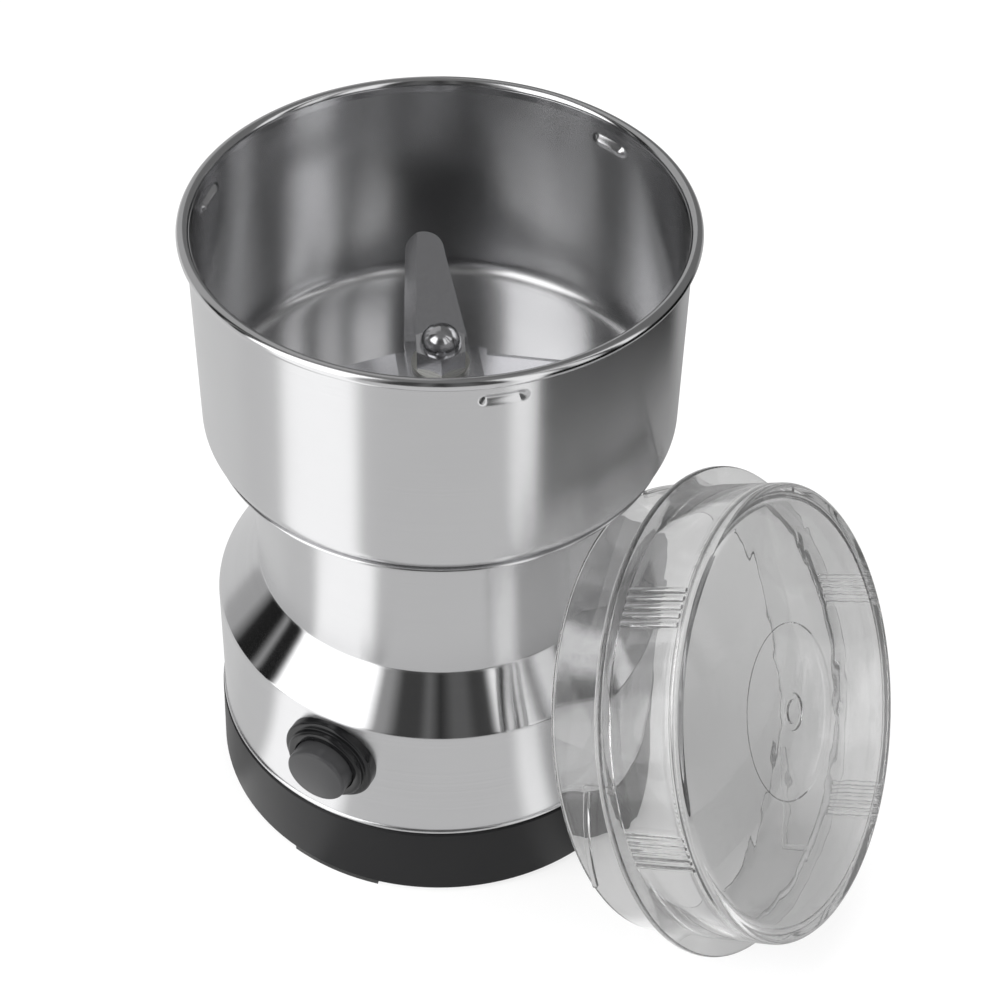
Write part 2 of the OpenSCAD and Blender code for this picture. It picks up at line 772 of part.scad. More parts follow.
module lower_bracket() {
    plate_bottom = bracket_z - bracket_t;
    tower_in = 13.5;
    tower_l = 9;
    tower_w = 11;
    arm_w = 10;
    disc_r = 13;
    color([0.45, 0.30, 0.20])
    on_motor() difference() {
        union() {
            translate([0, 0, plate_bottom]) cylinder(r = disc_r, h = bracket_t);
            translate([0, 0, lower_bearing_z - hub_lip])
                cylinder(r = bearing_r + 2.5, h = plate_bottom - lower_bearing_z + hub_lip + cut);
            translate([-bolt_ring_r, -arm_w / 2, plate_bottom]) cube([2 * bolt_ring_r, arm_w, bracket_t]);
            around(2, bolt_ring_r) translate([0, 0, plate_bottom]) cylinder(r = arm_w / 2, h = bracket_t);
            around(2, bolt_ring_r) translate([0, 0, plate_bottom])
                cylinder(r = leg_r + 0.6, h = stator_z - plate_bottom);
            around(2, 0, 90) translate([0, -tower_w / 2, plate_bottom])
                cube([tower_in + tower_l, tower_w, bracket_t]);
            around(2, tower_in, 90) translate([0, -tower_w / 2, plate_bottom])
                cube([tower_l, tower_w, brush_z - brush_h / 2 - plate_bottom]);
        }
        translate([0, 0, lower_bearing_z - hub_lip - cut])
            cylinder(r = shaft_r + 1, h = bearing_h + hub_lip + cut);
        translate([0, 0, lower_bearing_z]) cylinder(r = bearing_r, h = bearing_h + cut);
        around(2, bolt_ring_r) translate([0, 0, plate_bottom - cut])
            cylinder(r = bolt_r + seat_gap, h = stator_z - plate_bottom + 2 * cut);
    }
}

module brush_holders() {
    inner_r = commutator_r + 2.2;
    outer_r = 22.5;
    color("goldenrod")
    on_motor() around(2, 0, 90) translate([inner_r, 0, brush_z]) difference() {
        translate([0, -brush_w / 2, -brush_h / 2]) cube([outer_r - inner_r, brush_w, brush_h]);
        translate([-cut, -carbon_w / 2 - seat_gap, -carbon_w / 2 - seat_gap])
            cube([outer_r - inner_r - 0.8 + cut, carbon_w + 2 * seat_gap, carbon_w + 2 * seat_gap]);
    }
}

module carbon_brushes() {
    length = 8;
    color([0.14, 0.14, 0.15])
    on_motor() around(2, 0, 90) difference() {
        translate([commutator_r - 1, -carbon_w / 2, brush_z - carbon_w / 2])
            cube([length, carbon_w, carbon_w]);
        translate([0, 0, commutator_z]) cylinder(r = commutator_r + 0.1, h = commutator_h);
    }
}

// ---------------------------------------------------------------- motor, turning pieces

module motor_shaft() {
    chamfer = 0.5;
    color([0.80, 0.80, 0.82])
    rotate_extrude() polygon([
        [0, shaft_bottom_z], [shaft_r - chamfer, shaft_bottom_z], [shaft_r, shaft_bottom_z + chamfer],
        [shaft_r, lower_blade_z], [thread_r, lower_blade_z], [thread_r, shaft_top_z - chamfer],
        [thread_r - chamfer, shaft_top_z], [0, shaft_top_z],
    ]);
}

module rotor_core() {
    slot_r = 2;
    mouth = 1.4;
    color([0.50, 0.51, 0.54])
    translate([0, 0, rotor_z]) difference() {
        cylinder(r = rotor_r, h = rotor_h);
        translate([0, 0, -cut]) {
            cylinder(r = shaft_r + seat_gap, h = stator_h + 2 * cut);
            around(rotor_slots, slot_mid_r) {
                cylinder(r = slot_r, h = stator_h + 2 * cut, $fn = 24);
                translate([0, -mouth / 2, 0]) cube([rotor_r, mouth, stator_h + 2 * cut]);
            }
        }
    }
}

module winding_end(z, h) {
    hub_r = 5;
    out_r = rotor_r - 1.8;
    edge = 2.2;
    translate([0, 0, z]) rotate_extrude() polygon(concat(
        [[hub_r, 0]],
        arc(out_r - edge, edge, edge, -90, 0),
        arc(out_r - edge, h - edge, edge, 0, 90),
        [[hub_r, h]]
    ));
}

module rotor_windings() {
    end_h = 6;
    bundle_r = 1.8;
    color([0.78, 0.42, 0.20])
    difference() {
        union() {
            winding_end(rotor_z + rotor_h, end_h);
            winding_end(rotor_z - end_h, end_h);
            around(rotor_slots, slot_mid_r) translate([0, 0, rotor_z - cut])
                cylinder(r = bundle_r, h = rotor_h + 2 * cut, $fn = 24);
        }
        translate([0, 0, rotor_z - end_h - cut])
            cylinder(r = hub_tube_r + seat_gap, h = rotor_h + 2 * end_h + 2 * cut);
    }
}

module commutator() {
    bar_gap = 0.5;
    bar_depth = 1;
    riser_r = commutator_r + 1.6;
    riser_h = 1.8;
    top_z = commutator_z + commutator_h;
    color([0.80, 0.47, 0.28])
    difference() {
        union() {
            translate([0, 0, commutator_z]) cylinder(r = commutator_r, h = commutator_h);
            translate([0, 0, top_z]) cylinder(r = riser_r, h = riser_h);
            translate([0, 0, top_z]) cylinder(r = hub_tube_r, h = rotor_z - top_z);
        }
        translate([0, 0, commutator_z - cut])
            cylinder(r = shaft_r + seat_gap, h = rotor_z - commutator_z + 2 * cut);
        around(commutator_bars, 0) translate([commutator_r - bar_depth, -bar_gap / 2, commutator_z - cut])
            cube([bar_depth + riser_r, bar_gap, commutator_h + riser_h + 2 * cut]);
    }
}

module cooling_fan() {
    hub_r = 6.5;
    disc_t = 1.2;
    vane_t = 1;
    color([0.20, 0.22, 0.26])
    difference() {
        union() {
            translate([0, 0, fan_z + fan_h - disc_t]) cylinder(r = fan_r, h = disc_t);
            translate([0, 0, fan_z]) cylinder(r = hub_r, h = fan_h);
            around(fan_blades, 0) translate([hub_r - 1, -vane_t / 2, fan_z])
                cube([fan_r - hub_r + 0.5, vane_t, fan_h - disc_t + cut / 2]);
        }
        translate([0, 0, fan_z - cut]) cylinder(r = shaft_r + seat_gap, h = fan_h + 2 * cut);
    }
}

// ---------------------------------------------------------------- bowl

module bowl_gasket() {
    color([0.75, 0.75, 0.72])
    translate([0, 0, plate_top_z]) ring(frame_r, frame_r - gasket_w, gasket_t);
}

// A round-ended slug across the bowl's wall, for pressing a dimple
module dimple_tool(r) {
    half = dimple_l / 2 - dimple_w / 2;
    rotate([90, 0, 0]) translate([0, 0, -half]) cylinder(r = r, h = 2 * half, $fn = 32);
    for (side = [-1, 1]) translate([0, side * half, 0]) sphere(r = r, $fn = 32);
}

module grinding_bowl() {
    half = bowl_t / 2;
    tool_r = (pow(dimple_w / 2, 2) + pow(dimple_depth, 2)) / (2 * dimple_depth);
    tool_mid_r = bowl_r - dimple_depth + tool_r;
    backing = tool_r + 2 * bowl_t;      // how far above and below its middle a dimple may reach
    path = rounded_path([
        [bowl_hole_r, bowl_z + half, 0],
        [bowl_r - half, bowl_z + half, bowl_corner_r - half],
        [bowl_r - half, rim_z - bead_d / 2, 0],
    ], 8);
    color([0.82, 0.82, 0.84])
    difference() {
        union() {
            rotate_extrude() {
                polygon(sheet(path, bowl_t));
                translate([bead_mid_r, rim_z - bead_d / 2]) circle(d = bead_d, $fn = 32);
            }
            intersection() {
                translate([0, 0, dimple_z - backing]) cylinder(r = bowl_r - half, h = 2 * backing);
                around(3, tool_mid_r, dimple_turn) translate([0, 0, dimple_z]) dimple_tool(tool_r + bowl_t);
            }
            around(stud_count, stud_ring_r, stud_turn)
                translate([0, 0, plate_z - stud_nut_h - stud_end])
                    cylinder(r = stud_r, h = floor_z - half - plate_z + stud_nut_h + stud_end);
        }
        around(3, tool_mid_r, dimple_turn) translate([0, 0, dimple_z]) dimple_tool(tool_r);
    }
}

module bowl_nuts() {
    color("silver")
    around(stud_count, stud_ring_r, stud_turn) translate([0, 0, plate_z - stud_nut_h]) difference() {
        cylinder(r = 2 * stud_r - 0.1, h = stud_nut_h, $fn = 6);
        translate([0, 0, -cut]) cylinder(r = stud_r + seat_gap, h = stud_nut_h + 2 * cut);
    }
}

module hub_seal() {
    bore_r = shaft_r + 0.3;
    edge = 1.2;
    skirt_top = floor_z + 2.6;
    cap_r_out = frame_spigot_r + 1.2;
    color([0.10, 0.10, 0.10])
    difference() {
        rotate_extrude() polygon(concat(
            [[0, floor_z]],
            [[seal_r, floor_z]], arc(seal_r - edge, floor_z + edge, edge, 0, 80, 4),
            [[cap_r_out, skirt_top]], arc(cap_r_out - edge, seal_top_z - edge, edge, 0, 90, 4),
            [[0, seal_top_z]]
        ));
        translate([0, 0, floor_z - cut]) cylinder(r = bore_r, h = seal_h + 2 * cut);
        translate([0, 0, floor_z - cut])
            cylinder(r = frame_spigot_r + seat_gap, h = frame_spigot_z - floor_z + cut);
    }
}

// ---------------------------------------------------------------- blades

module blade_collar() {
    wall = 2.6;
    low = seal_top_z + running_gap;
    color([0.75, 0.75, 0.77])
    translate([0, 0, low]) ring(shaft_r + wall, shaft_r + seat_gap, lower_blade_z - low);
}

// One wing: it tapers to a rounded tip, and its leading edge is ground on one side
module wing(bend) {
    tip_w = blade_w * tip_share;
    edge_start = 1.5;
    fold = bend < 0 ? blade_t : 0;
    length = (blade_l / 2 - blade_root) / cos(bend);
    tip_r = tip_w / 2;
    translate([blade_root, 0, fold]) rotate([0, -bend, 0]) translate([0, 0, -fold]) difference() {
        linear_extrude(blade_t) {
            polygon([[0, -blade_w / 2], [length - tip_r, -tip_w / 2], [length - tip_r, tip_w / 2],
                [0, blade_w / 2]]);
            translate([length - tip_r, 0]) circle(tip_r);
        }
        translate([edge_start, blade_w / 2 - edge_w, blade_t])
            rotate(-atan2((blade_w - tip_w) / 2, length - tip_r))
                rotate([-atan2(blade_t - edge_land, edge_w), 0, 0])
                    cube([length + blade_w, 3 * edge_w, 3 * blade_t]);
    }
}

module blade(bend) {
    color([0.80, 0.80, 0.82])
    difference() {
        union() {
            translate([-blade_root - seat_gap, -blade_w / 2, 0])
                cube([2 * (blade_root + seat_gap), blade_w, blade_t]);
            around(2, 0) wing(bend);
        }
        translate([0, 0, -cut]) cylinder(r = thread_r + seat_gap, h = blade_t + 2 * cut);
    }
}

module lower_blade() {
    translate([0, 0, lower_blade_z]) rotate(35) blade(-lower_bend);
}

module upper_blade() {
    translate([0, 0, upper_blade_z]) rotate(125) blade(upper_bend);
}

module blade_washer() {
    color("silver")
    translate([0, 0, washer_z]) ring(nut_r + 0.3, thread_r + seat_gap, washer_t);
}

module blade_nut() {
    color([0.83, 0.83, 0.85])
    translate([0, 0, nut_z]) difference() {
        union() {
            cylinder(r = nut_r, h = nut_h, $fn = 6);
            translate([0, 0, nut_h - 0.2]) intersection() {
                sphere(r = dome_r);
                cylinder(r = dome_r, h = dome_r);
            }
        }
        translate([0, 0, -cut]) cylinder(r = thread_r + seat_gap, h = nut_h + cut + 0.3);
    }
}

// ---------------------------------------------------------------- lid

// A locking ramp: a band round the skirt, cut to a slanting strip with a stop bar at its high end
module locking_ramp() {
    drop = skirt_h - ramp_drop - ramp_w;
    half_l = ramp_r * sin(ramp_angle / 2);
    slope = atan2(drop, 2 * half_l);
    band_in_r = skirt_r - lid_t / 2;
    bar_z = -ramp_drop - ramp_w / 2;
    intersection() {
        translate([0, 0, -skirt_h]) ring(ramp_r, band_in_r, skirt_h + flange_t / 2);
        union() {
            rotate(ramp_angle / 2) translate([0, 0, -ramp_drop - drop / 2]) rotate([-slope, 0, 0])
                translate([band_in_r * cos(ramp_angle / 2) - cut, -half_l / cos(slope), -ramp_w / 2])
                    cube([ramp_r, 2 * half_l / cos(slope), ramp_w]);
            translate([0, -ramp_w / 2, bar_z]) cube([2 * ramp_r, ramp_w, flange_t / 2 - bar_z]);
        }
    }
}

module lid_upright() {
    edge = lid_edge_r;
    in_r = drum_r - lid_t;
    skirt_in_r = skirt_r - lid_t;
    top_in = drum_h - lid_top_t;
    rib_step = rib_pitch / drum_r * 180 / PI;
    difference() {
        union() {
            rotate_extrude() polygon(concat(
                [[0, top_in], [0, drum_h]],
                arc(drum_r - drum_edge_r, drum_h - drum_edge_r, drum_edge_r, 90, 0),
                [[drum_r, flange_t]],
                arc(flange_r - edge, flange_t - edge, edge, 90, 0, 3),
                arc(flange_r - edge, edge, edge, 0, -90, 3),
                [[skirt_r, 0]],
                arc(skirt_r - edge, -skirt_h + edge, edge, 0, -90, 3),
                arc(skirt_in_r + edge, -skirt_h + edge, edge, -90, -180, 3),
                [[skirt_in_r, 0], [in_r, flange_t]],
                arc(in_r - drum_fillet_r, top_in - drum_fillet_r, drum_fillet_r, 0, 90),
                [[ring_r, top_in], [ring_r - ring_step, top_in - ring_step], [0, top_in - ring_step]]
            ));
            for (side = [0, 180]) for (group = [-1, 1]) for (i = [0:rib_count - 1])
                rotate(rib_turn + side + group * rib_spread + (i - (rib_count - 1) / 2) * rib_step)
                    translate([drum_r - rib_sink, 0, flange_t - 0.2])
                        cylinder(d = rib_d, h = drum_h - drum_edge_r - flange_t - 0.2, $fn = 16);
            around(ramp_count, 0, ramp_turn) locking_ramp();
        }
        translate([0, 0, drum_h - gate_depth]) ring(gate_r, gate_r - gate_w, gate_depth + cut);
    }
}

module lid() {
    color([0.85, 0.88, 0.90, 0.4])
    translate([lid_x, -lean_side, lid_z]) rotate([0, 90 - lean_angle, 0]) lid_upright();
}

foot_pads();
base_cover();
base_screws();
cord_inlet();
body_shell();
button_bezel();
button_nut();
switch_body();
switch_terminals();
button_cap();
button_contact();
button_spring();
motor_frame();
upper_bearing();
stator_core();
field_coils();
motor_bolts();
lower_bracket();
lower_bearing();
brush_holders();
carbon_brushes();
motor_shaft();
rotor_core();
rotor_windings();
commutator();
cooling_fan();
bowl_gasket();
grinding_bowl();
bowl_nuts();
hub_seal();
blade_collar();
lower_blade();
upper_blade();
blade_washer();
blade_nut();
lid();
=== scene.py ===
"""Looks of an electric spice grinder: steel bowl, steel housing, black base, push button, clear lid.

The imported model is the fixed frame. Sizes below are millimetres in the same frame, whose origin is
on the spindle's axis at floor level, with the button towards -Y and the leaning lid towards +X.
"""

import json
import logging
from dataclasses import dataclass
from enum import Enum
from typing import Any, Optional, Sequence

import bmesh
import bpy
import numpy as np
from mathutils import Matrix, Vector

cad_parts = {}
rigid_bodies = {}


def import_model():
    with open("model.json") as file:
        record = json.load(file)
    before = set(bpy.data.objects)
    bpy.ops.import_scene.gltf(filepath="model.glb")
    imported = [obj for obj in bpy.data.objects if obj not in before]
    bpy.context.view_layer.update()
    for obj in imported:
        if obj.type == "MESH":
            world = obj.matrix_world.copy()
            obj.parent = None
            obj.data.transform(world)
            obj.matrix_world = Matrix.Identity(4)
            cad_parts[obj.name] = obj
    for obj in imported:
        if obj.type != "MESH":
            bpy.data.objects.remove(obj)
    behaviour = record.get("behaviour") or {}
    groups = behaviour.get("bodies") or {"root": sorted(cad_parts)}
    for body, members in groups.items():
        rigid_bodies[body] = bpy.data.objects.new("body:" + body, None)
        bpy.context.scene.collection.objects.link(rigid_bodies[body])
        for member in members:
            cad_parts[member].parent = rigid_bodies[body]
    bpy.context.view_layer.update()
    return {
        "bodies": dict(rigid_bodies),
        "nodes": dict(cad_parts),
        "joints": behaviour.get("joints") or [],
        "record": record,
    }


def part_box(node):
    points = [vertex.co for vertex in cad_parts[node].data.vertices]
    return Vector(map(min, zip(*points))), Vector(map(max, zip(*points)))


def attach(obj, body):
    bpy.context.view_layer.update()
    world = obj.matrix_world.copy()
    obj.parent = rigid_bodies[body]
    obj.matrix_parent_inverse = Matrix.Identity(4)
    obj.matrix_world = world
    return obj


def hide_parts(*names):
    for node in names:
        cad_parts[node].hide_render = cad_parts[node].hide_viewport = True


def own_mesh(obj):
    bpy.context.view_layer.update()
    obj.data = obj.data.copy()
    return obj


LOG = logging.getLogger("grinder")
MM = 0.001
SHARP = 32.0  # degrees: an edge with a larger angle stays sharp
Profile = np.ndarray
Socket = bpy.types.NodeSocket
Tree = bpy.types.NodeTree
Material = bpy.types.Material
Piece = bpy.types.Object


class Body(Enum):
    """The bodies that the pieces made here ride on."""

    HOUSING = "housing"
    BUTTON = "button"
    LID = "lid"


# ---------------- small tools


def srgb(code: str) -> tuple[float, float, float, float]:
    """Linear red, green, blue and alpha 1 of an sRGB value, six hex digits after a hash sign."""
    share = np.array([int(code[i : i + 2], 16) for i in (1, 3, 5)]) / 255
    linear = np.where(share <= 0.04045, share / 12.92, ((share + 0.055) / 1.055) ** 2.4)
    return (*linear.tolist(), 1.0)


def add(tree: Tree, kind: str, inputs: Optional[dict] = None, **settings: Any) -> bpy.types.Node:
    """Adds a node.

    Args:
        tree: the node tree.
        kind: the node's type name, without the word ShaderNode before it.
        inputs: a value or an output socket for each input, by name or index.
        settings: the node's own properties.
    """
    node = tree.nodes.new("ShaderNode" + kind)
    for name, value in settings.items():
        setattr(node, name, value)
    for key, value in (inputs or {}).items():
        if isinstance(value, bpy.types.NodeSocket):
            tree.links.new(value, node.inputs[key])
        else:
            node.inputs[key].default_value = value
    return node


def math(tree: Tree, operation: str, *values: Any) -> Socket:
    """The output of a Math node on one to three values or sockets."""
    return add(tree, "Math", dict(enumerate(values)), operation=operation).outputs[0]


def ranged(tree: Tree, value: Socket, from_min: float, from_max: float, to_min: float = 0.0,
           to_max: float = 1.0) -> Socket:
    """A value carried from one range over to another and held inside it."""
    limits = {"From Min": from_min, "From Max": from_max, "To Min": to_min, "To Max": to_max}
    return add(tree, "MapRange", {"Value": value, **limits}).outputs[0]


def mixed(tree: Tree, share: Any, a: Any, b: Any, data_type: str = "FLOAT") -> Socket:
    """A mix of two numbers, or with RGBA of two colours: all a at share 0, all b at share 1."""
    node = add(tree, "Mix", {"Factor": share, "A": a, "B": b}, data_type=data_type)
    return node.outputs["Result"]


def noise(tree: Tree, place: Socket, size_mm: float, detail: float, **more: float) -> Socket:
    """A noise whose spots are about so many millimetres across."""
    inputs = {"Vector": place, "Scale": 1 / (size_mm * MM), "Detail": detail, **more}
    return add(tree, "TexNoise", inputs).outputs[0]


def bump(tree: Tree, height: Socket, depth_mm: float, **more: Socket) -> Socket:
    """The normal of a surface that a height moves by up to so many millimetres."""
    inputs = {"Height": height, "Distance": depth_mm * MM, "Strength": 1.0, **more}
    return add(tree, "Bump", inputs).outputs[0]


def new_material(name: str) -> tuple[Material, Tree]:
    """An empty node material and its tree."""
    material = bpy.data.materials.new(name)
    material.use_nodes = True
    material.node_tree.nodes.clear()
    return material, material.node_tree


def ray_kinds(tree: Tree) -> tuple[Socket, Socket, Socket]:
    """Whether a ray is the camera's own, comes from gloss, or went through clear plastic alone.

    A ray that steel or the plastic's own faces have thrown back counts as one from gloss, also when
    it then goes through the plastic.
    """
    ray = add(tree, "LightPath").outputs
    straight = math(tree, "LESS_THAN", ray["Glossy Depth"], 0.5)
    clear = math(tree, "MULTIPLY", ray["Is Transmission Ray"], straight)
    return ray["Is Camera Ray"], ray["Is Glossy Ray"], clear


def from_axis(tree: Tree, part: Sequence[Socket]) -> Socket:
    """The distance from the spindle's axis, sqrt(x^2 + y^2), of a place given by its parts."""
    squares = [math(tree, "MULTIPLY", part[k], part[k]) for k in (0, 1)]
    return math(tree, "SQRT", math(tree, "ADD", *squares))


def varied(tree: Tree, cloud: Socket, middle: float, share: float) -> Socket:
    """A value that a noise, which seldom leaves 0.3 to 0.7, lowers and raises by a share of it."""
    low, high = 0.3, 0.7
    return ranged(tree, cloud, low, high, middle * (1 - share), middle * (1 + share))


def box_mm(node: str) -> tuple[Vector, Vector]:
    """The lowest and highest corner of a CAD node, in millimetres."""
    low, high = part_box(node)
    return low / MM, high / MM


def arc(x: float, y: float, r: float, start: float, end: float, steps: int = 8) -> Profile:
    """Points on a circle round (x, y) from one angle to another, in degrees: centre + r (cos, sin)."""
    a = np.radians(np.linspace(start, end, steps + 1))
    return np.stack([x + r * np.cos(a), y + r * np.sin(a)], axis=-1)


def fillet(p: np.ndarray, q: np.ndarray, s: np.ndarray, r: float, steps: int) -> Profile:
    """The arc of radius r that rounds corner q between p and s.

    The arc's centre is on the corner's bisector, r / sin(half angle) away, and it starts and ends
    r / tan(half angle) from the corner.
    """
    u = (p - q) / np.linalg.norm(p - q)
    w = (s - q) / np.linalg.norm(s - q)
    half = np.arccos(np.clip(u @ w, -1, 1)) / 2
    middle = q + (u + w) / np.linalg.norm(u + w) * r / np.sin(half)
    first = q + u * r / np.tan(half) - middle
    last = q + w * r / np.tan(half) - middle
    start = np.degrees(np.arctan2(first[1], first[0]))
    turn = np.degrees(np.arctan2(first[0] * last[1] - first[1] * last[0], first @ last))
    return arc(middle[0], middle[1], r, start, start + turn, steps)


def rounded(corners: Sequence[tuple[float, float, float]], steps: int = 8) -> Profile:
    """A path through (x, y, radius) corners, with each inner corner rounded by its radius."""
    at = np.array(corners, float)
    parts = [at[:1, :2]]
    for i in range(1, len(at) - 1):
        if at[i, 2] == 0:
            parts.append(at[i : i + 1, :2])
        else:
            parts.append(fillet(at[i - 1, :2], at[i, :2], at[i + 1, :2], at[i, 2], steps))
    parts.append(at[-1:, :2])
    return np.concatenate(parts)


def beside(path: Profile, distance: float) -> Profile:
    """A path moved sideways: each point goes along its mitre, so that the stretches stay parallel."""
    step = np.diff(path, axis=0)
    step /= np.linalg.norm(step, axis=1, keepdims=True)
    before = np.concatenate([step[:1], step])
    after = np.concatenate([step, step[-1:]])
    mitre = np.stack([-(before + after)[:, 1], (before + after)[:, 0]], axis=-1)
    mitre /= np.linalg.norm(mitre, axis=1, keepdims=True)
    side = np.stack([-after[:, 1], after[:, 0]], axis=-1)
    return path + mitre * (distance / np.sum(mitre * side, axis=1))[:, None]


def refined(profile: Profile, longest: float) -> Profile:
    """A profile with points put in evenly, so that no stretch is longer than the given length."""
    parts = [profile[:1]]
    for a, b in zip(profile[:-1], profile[1:]):
        count = max(1, int(np.ceil(np.linalg.norm(b - a) / longest)))
        share = np.linspace(0, 1, count + 1)[1:, None]
        parts.append(a + (b - a) * share)
    return np.concatenate(parts)


def turned(profile: Profile, angles: np.ndarray) -> np.ndarray:
    """A profile (r, z) turned round +Z: x = r cos a, y = r sin a, on a grid of angles and points."""
    r, z = profile[:, 0], profile[:, 1]
    height = np.broadcast_to(z, (len(angles), len(z)))
    return np.stack([np.outer(np.cos(angles), r), np.outer(np.sin(angles), r), height], axis=-1)


def full_turn(count: int) -> np.ndarray:
    """Even angles round a full turn, in radians."""
    return np.linspace(0, 2 * np.pi, count, endpoint=False)


def angles_with(count: int, middles: Sequence[float], half_width: float, step: float) -> np.ndarray:
    """Even angles round a turn, with finer ones near some middles. Degrees in, radians out."""
    even = np.linspace(-180, 180, count, endpoint=False)
    near = np.arange(-half_width, half_width + step / 2, step)
    fine = (np.add.outer(np.array(middles), near).ravel() + 180) % 360 - 180
    away = np.abs((even[:, None] - np.array(middles) + 180) % 360 - 180).min(axis=1) > half_width + step / 2
    return np.radians(np.unique(np.round(np.concatenate([even[away], fine]), 5)))


def linked(name: str, data: Any) -> Piece:
    """A new object that shows some data, linked into the scene."""
    made = bpy.data.objects.new(name, data)
    bpy.context.scene.collection.objects.link(made)
    return made


def meshed(name: str, points: np.ndarray, faces: list[list[int]]) -> Piece:
    """A linked object with a mesh of points, given in millimetres, and faces."""
    mesh = bpy.data.meshes.new(name)
    mesh.from_pydata((points.reshape(-1, 3) * MM).tolist(), [], faces)
    return linked(name, mesh)


def grid_quads(rows: int, columns: int, round_rows: bool, round_columns: bool) -> np.ndarray:
    """The quads of a grid of points. In a round direction the last points join the first ones."""
    i, j = np.meshgrid(np.arange(rows - (not round_rows)), np.arange(columns - (not round_columns)),
                       indexing="ij")
    after_i, after_j = (i + 1) % rows, (j + 1) % columns
    corners = ((i, j), (after_i, j), (after_i, after_j), (i, after_j))
    return np.stack([a * columns + b for a, b in corners], axis=-1).reshape(-1, 4)


def surface(name: str, points: np.ndarray, loop: bool = True, sharp: float = SHARP) -> Piece:
    """An object whose mesh is the quads of a grid of points, with its poles welded.

    Args:
        name: the piece's name.
        points: rows round a closed turn, by points along a profile, by x, y and z in millimetres.
        loop: whether the profile closes on itself; otherwise it starts and ends on the axis.
        sharp: the angle above which an edge stays sharp.
    """
    piece = meshed(name, points, grid_quads(*points.shape[:2], True, loop).tolist())
    weld(piece, sharp)
    return piece


def weld(piece: Piece, sharp: float = SHARP) -> None:
    """Merges a piece's doubled points, turns its faces outwards and shades it smooth between sharp edges."""
    work = bmesh.new()
    work.from_mesh(piece.data)
    bmesh.ops.remove_doubles(work, verts=work.verts, dist=1e-7)
    bmesh.ops.dissolve_degenerate(work, edges=work.edges, dist=1e-8)
    bmesh.ops.recalc_face_normals(work, faces=work.faces)
    work.to_mesh(piece.data)
    work.free()
    piece.data.shade_smooth()
    piece.data.set_sharp_from_angle(angle=np.radians(sharp))


def combine(piece: Piece, tool: Piece, operation: str) -> None:
    """Cuts a tool from a piece, or joins it on, applies the result and deletes the tool."""
    modifier = piece.modifiers.new("combine", "BOOLEAN")
    modifier.operation = operation
    modifier.solver = "MANIFOLD"
    modifier.object = tool
    bpy.context.view_layer.update()
    result = bpy.data.meshes.new_from_object(piece.evaluated_get(bpy.context.evaluated_depsgraph_get()))
    piece.modifiers.remove(modifier)
    result.name = piece.name
    piece.data = result
    bpy.data.objects.remove(tool)
    weld(piece)


def dress(piece: Piece, material: Material, body: Body, node: str) -> None:
    """Gives a piece its finish and its body, and hides the CAD node that it replaces."""
    piece.data.materials.clear()
    piece.data.materials.append(material)
    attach(piece, body.value)
    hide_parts(node)
    LOG.info("%s: %d faces, rides on %s", piece.name, len(piece.data.polygons), body.value)


# ---------------- finishes


@dataclass(frozen=True)
class Zone:
    """A range of heights in which a turned sheet is polished, in millimetres."""

    bottom: float
    top: float
    roughness: float


@dataclass(frozen=True)
class Finish:
    """A finish: a material whose Principled shader gets the inputs that each kind of finish gives."""

    name: str

    def inputs(self, tree: Tree, place: Socket) -> dict[str, Any]:
        """The shader's inputs, from the place on the object."""
        raise NotImplementedError

    def material(self) -> Material:
        """Builds the node material."""
        material, tree = new_material(self.name)
        place = add(tree, "TexCoord").outputs["Object"]
        shader = add(tree, "BsdfPrincipled", self.inputs(tree, place))
        add(tree, "OutputMaterial", {"Surface": shader.outputs[0]})
        return material


